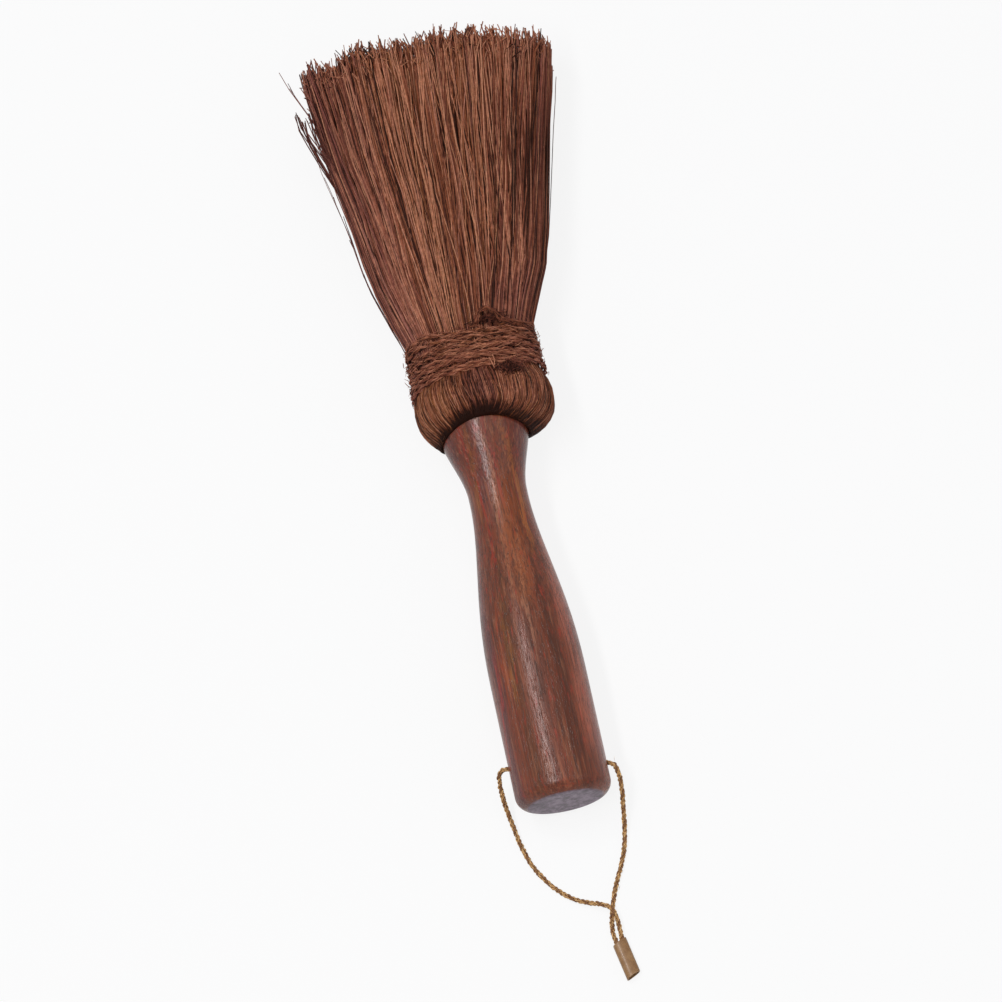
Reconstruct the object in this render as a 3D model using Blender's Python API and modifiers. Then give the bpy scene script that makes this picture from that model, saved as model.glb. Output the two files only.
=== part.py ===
"""Coconut fiber dish brush: a turned wooden handle, twelve hanks of stiff fibre tied
round its spigot with wire, folded back over the tie, bound outside with two lengths of
fibre twine and fanned out flat, with a twisted hanging cord through the handle.

The brush lies on its flat side. The brush's own frame has its origin at the middle of
the butt face, +Y along the handle towards the fibre, +X to the right and +Z up. It is
tilted a little about X, so that the butt's rim and the fibre fold both touch the table.
"""

import math

import bmesh
import bpy
from mathutils import Matrix, Vector

MM = 0.001
UP = Vector((0, 0, 1))

# Clearances and overruns
GAP = 0.3 * MM
CUT_OVERRUN = 5 * MM
MERGE = 0.001 * MM

# Handle: distances are measured along the axis from the butt face
BUTT_RADIUS = 14.5 * MM
BUTT_ROUNDING = 4.3 * MM
GRIP_LENGTH = 36.9 * MM
NECK_RADIUS = 8.95 * MM
NECK_START = 95.9 * MM
NECK_END = 97.9 * MM
FLARE_RADIUS = 14 * MM
HANDLE_LENGTH = 122.4 * MM
FLARE_ROUNDING = 1.2 * MM
SPIGOT_RADIUS = 5.5 * MM
SPIGOT_LENGTH = 15.5 * MM
SPIGOT_CHAMFER = 1 * MM
WAIST_CURVE_POWER = 1.3
WAIST_STEPS = 9
FLARE_STEPS = 6
ROUNDING_STEPS = 4
HANDLE_SIDES = 40

# Cross bore for the hanging cord, drilled by hand and a little askew
BORE_RADIUS = 1.7 * MM
BORE_DISTANCE = 11.4 * MM
BORE_SLANT = math.radians(-8.6)
BORE_SIDES = 16

# Fibre head: fold round the handle's end, seat of the binding, and flat fan
FOLD_HALF_WIDTH = 21.5 * MM
FOLD_HALF_DEPTH = 20.5 * MM
FOLD_LIP = 4 * MM
LIP_HANG = 3.2 * MM
FOLD_LENGTH = 14 * MM
HEAD_SIDE_OFFSET = 1.7 * MM
BINDING_LENGTH = 16.2 * MM
HANKS = 12
HANK_STEPS = 2
SEAT_HALF_WIDTH = 18.7 * MM
SEAT_LOW_HALF_DEPTH = 16.2 * MM
SEAT_HIGH_HALF_DEPTH = 11.2 * MM
FLOOR_FLAT = 0.5 * MM

# The fan leans to the right, so the brush's axis lies to the left of the part's middle
AXIS_SIDE_PLACE = -7.5 * MM


# Share of the fold's length from its lip, then of the swell from flare to widest for
# the width and the depth, and of how much lower the lip hangs at the two sides
FOLD_OUTLINE_SHARES = (
    (0.12, 0.04, 0.04, 1.0),
    (0.00, 0.22, 0.22, 1.0),
    (0.06, 0.58, 0.58, 0.9),
    (0.30, 0.93, 0.93, 0.6),
    (0.58, 1.00, 1.00, 0.3),
    (0.82, 0.93, 0.88, 0.0),
    (1.00, 0.68, 0.45, 0.0),
)
WIDEST_SHARE = 0.58

# Hidden tie round the inner fibre
WIRE_RADIUS = 0.6 * MM
WIRE_PITCH = 1.7 * MM
WIRE_TURNS = 3
WIRE_COIL_RADIUS = 9.3 * MM
WIRE_START = 3.6 * MM
WIRE_POINTS_A_TURN = 14
CHANNEL_SIDES = 24

# Bristle strands
FAN_LENGTH = 101.3 * MM
KNEE_LENGTH = 21 * MM
KNEE_HALF_WIDTH = 27.9 * MM
KNEE_HALF_DEPTH = 12.6 * MM
KNEE_SIDE_OFFSET = 3.4 * MM
KNEE_DROOP = 1.7 * MM
TIP_HALF_WIDTH = 41.8 * MM
TIP_HALF_DEPTH = 16 * MM
TIP_SIDE_OFFSET = 7.6 * MM
TIP_DROOP = 8 * MM
CORNER_DROP = 5.5 * MM
CORNER_POWER = 4
STRAND_ROOT_RADIUS = 0.5 * MM
STRAND_KNEE_RADIUS = 0.62 * MM
STRAND_TIP_RADIUS = 0.5 * MM
STRAND_SIDES = 3
STRAND_SINK = 2 * MM
STRAND_ROOT_SPACING = 1.28 * MM
STRAND_TIP_SPACING = 1.85 * MM
STRAND_REACH_SHARE = 0.95
KNEED_SHARE = 0.87
SPACING_GRID = 60
RAGGED_DROP = 5 * MM
RAGGED_TURN = 2.399

# Twine bindings: two lengths, each with its own knot
TWINE_RADIUS = 0.75 * MM
TWINE_PITCH = 1.8 * MM
LOWER_TURNS = 3
UPPER_TURNS = 4
TWINE_POINTS_A_TURN = 24
KNOT_ANGLE = math.radians(66)
KNOT_RADIUS = 1.3 * MM
KNOT_STEP_ANGLE = math.radians(3.4)
KNOT_RISE_STEPS = 3
LOWER_KNOT_SHIFT = -2.6 * MM
LOWER_KNOT_CLIMB = 0.8 * MM

# Swell of the twine along its knot, as shares of the swell from twine to knot
KNOT_SWELL_SHARES = (0.75, 1, 0.7, 0, 0)

# Hanging cord and its flat end sleeve
CORD_RADIUS = 0.8 * MM
CORD_POINT_SPACING = 4.4 * MM
SLEEVE_LENGTH = 11.1 * MM
SLEEVE_HALF_WIDTH = 2.3 * MM
SLEEVE_HALF_HEIGHT = 1.7 * MM
SLEEVE_WALL = 0.4 * MM
SLEEVE_TURN = math.radians(10.1)
SLEEVE_MOUTH = Vector((-0.9, -166.75, 1.7)) * MM
SLEEVE_ROUNDING_STEPS = 4
END_RECESS = 0.6 * MM

# The cord's route through the sleeve, the bore and back, in the part's own frame.
# It leaves the sleeve by its right side, passes over itself once, goes to the bore's
# left mouth, through the handle, and comes back from the right mouth.
CORD_ROUTE = [
    Vector(point) * MM
    for point in (
        (1.83, -176.93, 1.70),
        (-0.01, -166.59, 1.70),
        (0.05, -163.75, 1.85),
        (-0.05, -161.15, 2.45),
        (-0.40, -158.55, 3.20),
        (-1.50, -156.15, 3.45),
        (-3.90, -154.65, 3.20),
        (-7.40, -153.15, 2.30),
        (-11.70, -150.55, 1.40),
        (-15.70, -146.75, 0.95),
        (-19.10, -142.15, 0.95),
        (-21.60, -137.15, 0.95),
        (-23.20, -131.75, 1.30),
        (-24.20, -126.45, 2.50),
        (-25.00, -121.55, 4.40),
        (-25.50, -117.15, 7.20),
        (-25.45, -113.75, 10.60),
        (-24.60, -111.45, 13.60),
        (-23.00, -111.10, 14.75),
        (-21.20, -111.48, 14.81),
        (-14.60, -112.48, 14.81),
        (-7.50, -113.55, 14.81),
        (-0.40, -114.62, 14.81),
        (6.84, -115.72, 14.81),
        (8.50, -116.50, 14.55),
        (9.60, -119.05, 12.40),
        (9.60, -122.75, 8.80),
        (9.00, -126.75, 5.60),
        (8.30, -130.95, 3.20),
        (7.50, -135.15, 1.70),
        (6.30, -139.35, 1.05),
        (4.60, -143.45, 0.95),
        (2.75, -147.25, 0.95),
        (1.10, -150.85, 0.95),
        (-0.10, -154.15, 0.95),
        (-1.10, -157.45, 0.95),
        (-1.90, -160.65, 1.00),
        (-2.15, -163.65, 1.35),
        (-1.79, -166.91, 1.70),
        (0.05, -177.25, 1.70),
    )
]

# Sizes that follow from the ones above
SHOULDER = HANDLE_LENGTH
LIP = SHOULDER - FOLD_LIP
FOLD_END = LIP + FOLD_LENGTH
HANK_TOP = FOLD_END + BINDING_LENGTH
SPIGOT_END = SHOULDER + SPIGOT_LENGTH
TIPS = HANK_TOP + FAN_LENGTH
WIDEST = LIP + FOLD_LENGTH * WIDEST_SHARE
TILT = math.atan(
    (FOLD_HALF_DEPTH - BUTT_RADIUS - FLOOR_FLAT) / (WIDEST - BUTT_ROUNDING)
)
BUTT_HEIGHT = BUTT_RADIUS * math.cos(TILT) - BUTT_ROUNDING * math.sin(TILT)
BRUSH_PLACE = Vector((AXIS_SIDE_PLACE, -TIPS / 2, BUTT_HEIGHT))
BRUSH_FRAME = Matrix.Translation(BRUSH_PLACE) @ Matrix.Rotation(TILT, 4, "X")
BORE_CENTRE = BRUSH_FRAME @ Vector((0, BORE_DISTANCE, 0))
HANK_ANGLE = math.tau / HANKS


def clear_scene():
    for old in list(bpy.data.objects):
        bpy.data.objects.remove(old, do_unlink=True)


def new_collection(name):
    found = bpy.data.collections.new(name)
    bpy.context.scene.collection.children.link(found)
    return found


def new_material(name, colour, roughness):
    made = bpy.data.materials.new(name)
    made.use_nodes = True
    shader = made.node_tree.nodes["Principled BSDF"]
    shader.inputs["Base Color"].default_value = (*colour, 1)
    shader.inputs["Roughness"].default_value = roughness
    return made


def new_object(name, data, collection, parent=None, material=None):
    made = bpy.data.objects.new(name, data)
    collection.objects.link(made)
    made.parent = parent
    if material:
        made.data.materials.append(material)
    return made


def new_mesh(name, bm):
    """A mesh from bm, with its faces pointing out and smooth but for its sharp edges."""
    bmesh.ops.remove_doubles(bm, verts=bm.verts, dist=MERGE)
    bmesh.ops.recalc_face_normals(bm, faces=bm.faces)
    mesh = bpy.data.meshes.new(name)
    bm.to_mesh(mesh)
    bm.free()
    mesh.shade_smooth()
    mesh.set_sharp_from_angle(angle=math.radians(40))
    return mesh


def mark_as_cutter(cutter):
    cutter.hide_render = True
    cutter.display_type = "WIRE"


def boolean(target, cutter, operation):
    modifier = target.modifiers.new(cutter.name, "BOOLEAN")
    modifier.operation = operation
    modifier.object = cutter
    modifier.solver = "EXACT"


def loft(bm, rings):
    """A closed body through rings of as many points each, with both ends capped."""
    rows = [[bm.verts.new(point) for point in ring] for ring in rings]
    count = len(rows[0])
    for row, following in zip(rows, rows[1:]):
        for i in range(count):
            j = (i + 1) % count
            bm.faces.new((row[i], row[j], following[j], following[i]))
    bm.faces.new(rows[0])
    bm.faces.new(rows[-1])


def tube(name, points, radius, resolution, collection, parent, material):
    """A round tube along the points, with filled caps."""
    curve = bpy.data.curves.new(name, "CURVE")
    curve.dimensions = "3D"
    curve.bevel_depth = radius
    curve.bevel_resolution = resolution
    curve.use_fill_caps = True
    spline = curve.splines.new("POLY")
    spline.points.add(len(points) - 1)
    for target, point in zip(spline.points, points):
        target.co = (*point, 1)
    return new_object(name, curve, collection, parent, material)


def least_gap(points, radii, skip):
    """Least gap of a winding to itself, between points at least skip apart along it."""
    return min(
        (points[i] - points[j]).length - radii[i] - radii[j]
        for i in range(len(points))
        for j in range(i + skip, len(points))
    )


def ease(share):
    """A smooth step from 0 to 1."""
    return share * share * (3 - 2 * share)


def mix(low, high, share):
    return low + (high - low) * share


# Handle


def handle_outline():
    """(radius, distance from the butt face) of the turned handle, spigot end first."""
    outline = [
        (0, SPIGOT_END),
        (SPIGOT_RADIUS - SPIGOT_CHAMFER, SPIGOT_END),
        (SPIGOT_RADIUS, SPIGOT_END - SPIGOT_CHAMFER),
        (SPIGOT_RADIUS, SHOULDER),
    ]
    for step in range(ROUNDING_STEPS + 1):
        angle = math.pi / 2 * step / ROUNDING_STEPS
        radius = FLARE_RADIUS - FLARE_ROUNDING * (1 - math.sin(angle))
        outline.append((radius, SHOULDER - FLARE_ROUNDING * (1 - math.cos(angle))))
    flare_end = SHOULDER - FLARE_ROUNDING
    for step in range(1, FLARE_STEPS + 1):
        share = step / FLARE_STEPS
        radius = mix(FLARE_RADIUS, NECK_RADIUS, ease(share))
        outline.append((radius, mix(flare_end, NECK_END, share)))
    for step in range(WAIST_STEPS, -1, -1):
        share = step / WAIST_STEPS
        radius = mix(BUTT_RADIUS, NECK_RADIUS, ease(share**WAIST_CURVE_POWER))
        outline.append((radius, mix(GRIP_LENGTH, NECK_START, share)))
    for step in range(ROUNDING_STEPS + 1):
        angle = math.pi / 2 * step / ROUNDING_STEPS
        radius = BUTT_RADIUS - BUTT_ROUNDING * (1 - math.cos(angle))
        outline.append((radius, BUTT_ROUNDING * (1 - math.sin(angle))))
    outline.append((0, 0))
    return outline


def turned(name, outline, sides, collection, parent, material=None):
    """A solid turned about the brush's long axis from a (radius, distance) outline."""
    bm = bmesh.new()
    corners = [bm.verts.new((radius, 0, along)) for radius, along in outline]
    for first, second in zip(corners, corners[1:]):
        bm.edges.new((first, second))
    mesh = bpy.data.meshes.new(name)
    bm.to_mesh(mesh)
    bm.free()
    made = new_object(name, mesh, collection, parent, material)
    made.rotation_euler = (-math.pi / 2, 0, 0)
    screw = made.modifiers.new("turn", "SCREW")
    screw.axis = "Z"
    screw.angle = math.tau
    screw.steps = sides
    screw.render_steps = sides
    screw.use_merge_vertices = True
    screw.merge_threshold = MERGE
    screw.use_smooth_shade = True
    return made


def bore_cutter(cutters, parent):
    bm = bmesh.new()
    bmesh.ops.create_cone(
        bm,
        cap_ends=True,
        segments=BORE_SIDES,
        radius1=BORE_RADIUS,
        radius2=BORE_RADIUS,
        depth=2 * (BUTT_RADIUS + CUT_OVERRUN),
    )
    mesh = new_mesh("cord_bore_cutter", bm)
    cutter = new_object("cord_bore_cutter", mesh, cutters, parent)
    cutter.location = (0, BORE_DISTANCE, 0)
    cutter.rotation_euler = (0, math.pi / 2, BORE_SLANT)
    mark_as_cutter(cutter)
    return cutter


def make_handle(parts, cutters, brush, wood):
    handle = turned("handle", handle_outline(), HANDLE_SIDES, parts, brush, wood)
    boolean(handle, bore_cutter(cutters, brush), "DIFFERENCE")


# Fibre hanks


def head_outline():
    """(distance, half width, half depth, side offset, hang at the sides), lip to fan."""
    outline = []
    flare_seat = FLARE_RADIUS + GAP
    for along_share, width_share, depth_share, hang_share in FOLD_OUTLINE_SHARES:
        along = LIP + FOLD_LENGTH * along_share
        half_width = mix(flare_seat, FOLD_HALF_WIDTH, width_share)
        half_depth = mix(flare_seat, FOLD_HALF_DEPTH, depth_share)
        side_offset = min(HEAD_SIDE_OFFSET, half_width - flare_seat)
        hang = LIP_HANG * hang_share
        outline.append((along, half_width, half_depth, side_offset, hang))
    seat_low = FOLD_END + GAP
    for along, half_depth in (
        (seat_low, SEAT_LOW_HALF_DEPTH),
        (HANK_TOP, SEAT_HIGH_HALF_DEPTH),
    ):
        outline.append((along, SEAT_HALF_WIDTH, half_depth, HEAD_SIDE_OFFSET, 0))
    return outline


def reach(apex, angle, half_width, half_depth, side_offset):
    """How far an ellipse's edge is from apex, in the direction of angle."""
    start_x = (apex.x - side_offset) / half_width
    start_z = apex.z / half_depth
    step_x = math.cos(angle) / half_width
    step_z = math.sin(angle) / half_depth
    square = step_x**2 + step_z**2
    half = start_x * step_x + start_z * step_z
    rest = start_x**2 + start_z**2 - 1
    return (math.sqrt(half**2 - square * rest) - half) / square


def hank_apex(middle):
    """Where a hank's two sides meet, so that it keeps its gap to the next hank."""
    shift = GAP / 2 / math.sin(HANK_ANGLE / 2)
    return Vector((math.cos(middle), 0, math.sin(middle))) * shift


def hank_ring(middle, angle):
    """The hank's lengthwise outline at one angle, from the spigot round to its top."""
    apex = hank_apex(middle)
    spigot_seat = SPIGOT_RADIUS + GAP
    inner_start = SHOULDER + GAP
    flare_seat = FLARE_RADIUS + GAP
    outline = [
        (SPIGOT_END + GAP, spigot_seat, spigot_seat, 0, 0),
        (inner_start, spigot_seat, spigot_seat, 0, 0),
        (inner_start, flare_seat, flare_seat, 0, 0),
    ]
    outline += head_outline()
    ring = []
    for along, half_width, half_depth, side_offset, hang in outline:
        out = reach(apex, angle, half_width, half_depth, side_offset)
        place = apex + Vector((math.cos(angle), 0, math.sin(angle))) * out
        ring.append(Vector((place.x, along - hang * math.cos(angle) ** 2, place.z)))
    ring.append(Vector((apex.x, HANK_TOP, apex.z)))
    ring.append(Vector((apex.x, SPIGOT_END + GAP, apex.z)))
    return ring


def fan_place(across, deep, along):
    """Where the strand that starts at these shares of the section is, at a distance.

    The shares keep their order at every distance, so no two strands ever cross."""
    if along <= HANK_TOP + KNEE_LENGTH:
        share = max(0, (along - HANK_TOP) / KNEE_LENGTH)
        low = (SEAT_HALF_WIDTH, SEAT_HIGH_HALF_DEPTH, HEAD_SIDE_OFFSET, 0)
        high = (KNEE_HALF_WIDTH, KNEE_HALF_DEPTH, KNEE_SIDE_OFFSET, KNEE_DROOP)
    else:
        share = (along - HANK_TOP - KNEE_LENGTH) / (FAN_LENGTH - KNEE_LENGTH)
        low = (KNEE_HALF_WIDTH, KNEE_HALF_DEPTH, KNEE_SIDE_OFFSET, KNEE_DROOP)
        high = (TIP_HALF_WIDTH, TIP_HALF_DEPTH, TIP_SIDE_OFFSET, TIP_DROOP)
    width, depth, side, droop = (mix(a, b, share) for a, b in zip(low, high))
    return Vector((side + width * across, along, depth * deep - droop))


def spaced_far_enough(place, others):
    """Whether a strand clears the others, both at the binding and at the tips."""
    for other in others:
        across = place[0] - other[0]
        deep = place[1] - other[1]
        root = math.hypot(across * SEAT_HALF_WIDTH, deep * SEAT_HIGH_HALF_DEPTH)
        tip = math.hypot(across * TIP_HALF_WIDTH, deep * TIP_HALF_DEPTH)
        if root < STRAND_ROOT_SPACING or tip < STRAND_TIP_SPACING:
            return False
    return True


def hank_number(across, deep):
    """Which hank a strand belongs to, or None where it would cross a hank's side."""
    root = fan_place(across, deep, HANK_TOP)
    angle = math.atan2(root.z, root.x) % math.tau
    number = int(angle / HANK_ANGLE)
    out = math.hypot(root.x, root.z)
    into = angle - number * HANK_ANGLE
    clear = out * math.sin(min(into, HANK_ANGLE - into))
    return number if clear > STRAND_ROOT_RADIUS else None


def strand_shares():
    """Shares of the section for every strand, as {hank number: [(across, deep)]}."""
    found = {number: [] for number in range(HANKS)}
    taken = []
    steps = range(-SPACING_GRID, SPACING_GRID + 1)
    grid = [(i / SPACING_GRID, j / SPACING_GRID) for i in steps for j in steps]
    grid.sort(key=lambda place: (-math.hypot(*place), math.atan2(place[1], place[0])))
    for across, deep in grid:
        if math.hypot(across, deep) > STRAND_REACH_SHARE:
            continue
        number = hank_number(across, deep)
        if number is not None and spaced_far_enough((across, deep), taken):
            found[number].append((across, deep))
            taken.append((across, deep))
    return found


def strand_ring(place, radius, turn):
    """A strand's cross-section, square to the brush's axis."""
    corners = (turn + math.tau * side / STRAND_SIDES for side in range(STRAND_SIDES))
    return [place + Vector((math.cos(a), 0, math.sin(a))) * radius for a in corners]


def add_strand(bm, across, deep, number):
    """One strand: straight from the binding, or with a bend where the fan flares."""
    turn = RAGGED_TURN * number
    ragged = RAGGED_DROP * (0.5 + 0.5 * math.sin(turn * number))
    tip = TIPS - CORNER_DROP * abs(across) ** CORNER_POWER - ragged
    root_place = fan_place(across, deep, HANK_TOP)
    root_place.y = HANK_TOP - STRAND_SINK
    rings = [strand_ring(root_place, STRAND_ROOT_RADIUS, turn)]
    if math.hypot(across, deep) > KNEED_SHARE:
        knee_place = fan_place(across, deep, HANK_TOP + KNEE_LENGTH)
        rings.append(strand_ring(knee_place, STRAND_KNEE_RADIUS, turn))
    rings.append(strand_ring(fan_place(across, deep, tip), STRAND_TIP_RADIUS, turn))
    loft(bm, rings)


def channel_cutter(cutters, brush):
    """The ring-shaped channel that the tie sits in, with its gap all round."""
    half = WIRE_RADIUS + GAP
    low = SHOULDER + WIRE_START - half
    high = SHOULDER + WIRE_START + WIRE_PITCH * WIRE_TURNS + half
    outline = (
        (WIRE_COIL_RADIUS - half, high),
        (WIRE_COIL_RADIUS + half, high),
        (WIRE_COIL_RADIUS + half, low),
        (WIRE_COIL_RADIUS - half, low),
        (WIRE_COIL_RADIUS - half, high),
    )
    cutter = turned("tie_channel_cutter", outline, CHANNEL_SIDES, cutters, brush)
    mark_as_cutter(cutter)
    return cutter


def floor_cutter(cutters):
    """A block below the table's surface, for the flat that the fold lies on."""
    bm = bmesh.new()
    bmesh.ops.create_cube(bm, size=1)
    size = Vector((4 * FOLD_HALF_WIDTH, 4 * FOLD_HALF_WIDTH, CUT_OVERRUN))
    bmesh.ops.scale(bm, vec=size, verts=bm.verts)
    cutter = new_object("table_cutter", new_mesh("table_cutter", bm), cutters)
    cutter.location = BRUSH_FRAME @ Vector((0, WIDEST, 0))
    cutter.location.z = -CUT_OVERRUN / 2
    mark_as_cutter(cutter)
    return cutter


def make_hanks(parts, cutters, brush, fibre):
    channel = channel_cutter(cutters, brush)
    table = floor_cutter(cutters)
    count = 0
    for number, shares in strand_shares().items():
        middle = HANK_ANGLE * (number + 0.5)
        bm = bmesh.new()
        angles = [
            middle + HANK_ANGLE * (step / HANK_STEPS - 0.5)
            for step in range(HANK_STEPS + 1)
        ]
        loft(bm, [hank_ring(middle, angle) for angle in angles])
        name = f"fibre_hank_{number + 1:02d}"
        hank = new_object(name, new_mesh(name, bm), parts, brush, fibre)
        bm = bmesh.new()
        for across, deep in shares:
            add_strand(bm, across, deep, count)
            count += 1
        name = f"strands_{number + 1:02d}"
        strands = new_object(name, new_mesh(name, bm), cutters, brush)
        mark_as_cutter(strands)
        boolean(hank, channel, "DIFFERENCE")
        boolean(hank, strands, "UNION")
        if math.sin(middle) < -math.cos(HANK_ANGLE):
            boolean(hank, table, "DIFFERENCE")
    print("bristle strands:", count)


# Windings


def make_tie_wire(parts, brush, steel):
    """The hidden tie: a helix of wire round the inner fibre, just above the shoulder."""
    points = []
    for step in range(WIRE_TURNS * WIRE_POINTS_A_TURN + 1):
        share = step / WIRE_POINTS_A_TURN
        angle = math.tau * share
        along = SHOULDER + WIRE_START + WIRE_PITCH * share
        points.append(
            Vector(
                (
                    WIRE_COIL_RADIUS * math.cos(angle),
                    along,
                    WIRE_COIL_RADIUS * math.sin(angle),
                )
            )
        )
    tube("tie_wire", points, WIRE_RADIUS, 1, parts, brush, steel)
    gap = least_gap(points, [WIRE_RADIUS] * len(points), WIRE_POINTS_A_TURN // 2)
    print(f"tie_wire least gap to itself: {gap / MM:.2f} mm")


def on_seat(angle, along, lift):
    """A point a lift above the binding's seat, at one angle and distance."""
    share = (along - FOLD_END) / BINDING_LENGTH
    depth = mix(SEAT_LOW_HALF_DEPTH, SEAT_HIGH_HALF_DEPTH, share) + lift
    across = HEAD_SIDE_OFFSET + (SEAT_HALF_WIDTH + lift) * math.cos(angle)
    return Vector((across, along, depth * math.sin(angle)))


def knot_points(along, turn, shift, climb):
    """The twine's end: it climbs off the winding, swells into its knot and stops.

    It goes on round by turn, +1 or -1, and may shift along and climb a little more."""
    points = []
    radii = []
    steps = KNOT_RISE_STEPS + len(KNOT_SWELL_SHARES)
    low = TWINE_RADIUS + GAP
    high = low + TWINE_RADIUS + GAP + KNOT_RADIUS + climb
    for step in range(1, steps + 1):
        share = ease(min(1, step / KNOT_RISE_STEPS))
        angle = KNOT_ANGLE + turn * KNOT_STEP_ANGLE * step
        points.append(on_seat(angle, along + shift * share, mix(low, high, share)))
        radii.append(TWINE_RADIUS)
    for step, share in enumerate(KNOT_SWELL_SHARES):
        radii[KNOT_RISE_STEPS + step] = mix(TWINE_RADIUS, KNOT_RADIUS, share)
    return points, radii


def make_twine(name, start, turns, knot_first, parts, brush, fibre):
    """One binding: a helix of twine with its knot at the lower or the upper end."""
    points = []
    for step in range(turns * TWINE_POINTS_A_TURN + 1):
        share = step / TWINE_POINTS_A_TURN
        angle = KNOT_ANGLE + math.tau * share
        points.append(on_seat(angle, start + TWINE_PITCH * share, TWINE_RADIUS + GAP))
    radii = [TWINE_RADIUS] * len(points)
    if knot_first:
        knot, swell = knot_points(start, -1, LOWER_KNOT_SHIFT, LOWER_KNOT_CLIMB)
        points = knot[::-1] + points
        radii = swell[::-1] + radii
    else:
        knot, swell = knot_points(start + TWINE_PITCH * turns, 1, 0, 0)
        points += knot
        radii += swell
    twine = tube(name, points, TWINE_RADIUS, 1, parts, brush, fibre)
    for target, radius in zip(twine.data.splines[0].points, radii):
        target.radius = radius / TWINE_RADIUS
    gap = least_gap(points, radii, TWINE_POINTS_A_TURN // 2)
    print(f"{name} least gap to itself: {gap / MM:.2f} mm")


def make_bindings(parts, brush, fibre):
    start = FOLD_END + GAP + TWINE_RADIUS
    make_twine("binding_twine_lower", start, LOWER_TURNS, True, parts, brush, fibre)
    start += TWINE_PITCH * (LOWER_TURNS + 1)
    make_twine("binding_twine_upper", start, UPPER_TURNS, False, parts, brush, fibre)


# Hanging cord


def smooth_route(route, spacing):
    """Points an even distance apart on a smooth curve through the route's points."""
    padded = [2 * route[0] - route[1], *route, 2 * route[-1] - route[-2]]
    fine = []
    for a, b, c, d in zip(padded, padded[1:], padded[2:], padded[3:]):
        steps = max(2, round((c - b).length / spacing * 8))
        for step in range(steps):
            t = step / steps
            curve = (
                2 * b
                + (c - a) * t
                + (2 * a - 5 * b + 4 * c - d) * t**2
                + (3 * b - 3 * c + d - a) * t**3
            )
            fine.append(curve / 2)
    fine.append(route[-1].copy())
    length = sum((b - a).length for a, b in zip(fine, fine[1:]))
    count = round(length / spacing)
    points = [fine[0]]
    walked = 0
    for a, b in zip(fine, fine[1:]):
        walked += (b - a).length
        if walked >= length * len(points) / count and len(points) < count:
            points.append(b)
    points.append(fine[-1])
    return points, length


def make_cord(parts, pivot, twist):
    points, length = smooth_route(CORD_ROUTE, CORD_POINT_SPACING)
    points = [point - BORE_CENTRE for point in points]
    tube("hanging_cord", points, CORD_RADIUS, 2, parts, pivot, twist)
    print(f"hanging_cord: {length / MM:.1f} mm long, {len(points)} points")


def rounded_outline(half_width, half_height):
    """Corners of a flat oblong with half-round ends."""
    steps = SLEEVE_ROUNDING_STEPS
    outline = []
    for side in (1, -1):
        for step in range(steps + 1):
            angle = side * math.pi / 2 - math.pi * step / steps
            flat = side * (half_width - half_height)
            x = flat + half_height * math.cos(angle)
            outline.append((x, half_height * math.sin(angle)))
    return outline


def make_sleeve(parts, pivot, metal):
    curve = bpy.data.curves.new("cord_end_sleeve", "CURVE")
    curve.dimensions = "2D"
    curve.fill_mode = "BOTH"
    curve.extrude = SLEEVE_LENGTH / 2
    for inset in (0, SLEEVE_WALL):
        outline = rounded_outline(SLEEVE_HALF_WIDTH - inset, SLEEVE_HALF_HEIGHT - inset)
        spline = curve.splines.new("POLY")
        spline.points.add(len(outline) - 1)
        for target, (x, y) in zip(spline.points, outline):
            target.co = (x, y, 0, 1)
        spline.use_cyclic_u = True
    sleeve = new_object("cord_end_sleeve", curve, parts, pivot, metal)
    along = Vector((math.sin(SLEEVE_TURN), -math.cos(SLEEVE_TURN), 0))
    sleeve.location = SLEEVE_MOUTH + along * SLEEVE_LENGTH / 2 - BORE_CENTRE
    sleeve.rotation_euler = (math.pi / 2, 0, SLEEVE_TURN)


def main():
    clear_scene()
    parts = new_collection("coconut_fiber_dish_brush")
    cutters = new_collection("cutters")
    wood = new_material("handle_wood", (0.19, 0.06, 0.035), 0.35)
    fibre = new_material("coconut_fibre", (0.22, 0.085, 0.045), 0.75)
    twine = new_material("fibre_twine", (0.26, 0.1, 0.05), 0.8)
    steel = new_material("tie_steel", (0.35, 0.33, 0.31), 0.4)
    twist = new_material("cord_cotton", (0.38, 0.2, 0.075), 0.7)
    tan = new_material("sleeve_tan", (0.33, 0.17, 0.07), 0.5)
    brush = new_object("brush_axis", None, parts)
    brush.location = BRUSH_PLACE
    brush.rotation_euler = (TILT, 0, 0)
    pivot = new_object("loop_pivot", None, parts)
    pivot.location = BORE_CENTRE
    make_handle(parts, cutters, brush, wood)
    make_hanks(parts, cutters, brush, fibre)
    make_tie_wire(parts, brush, steel)
    make_bindings(parts, brush, twine)
    make_cord(parts, pivot, twist)
    make_sleeve(parts, pivot, tan)


main()
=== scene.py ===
"""Looks of a coconut fibre dish brush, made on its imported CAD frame.

Lengths are in millimetres in the brush's own frame (y along the handle from 0.9 mm
inside its butt face towards the fibre, x to the right, z up from the axis) until to_row
turns them into metres in the row frame.
"""

import math

import bmesh
import bpy
import numpy as np
from mathutils import Matrix, Vector


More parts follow.
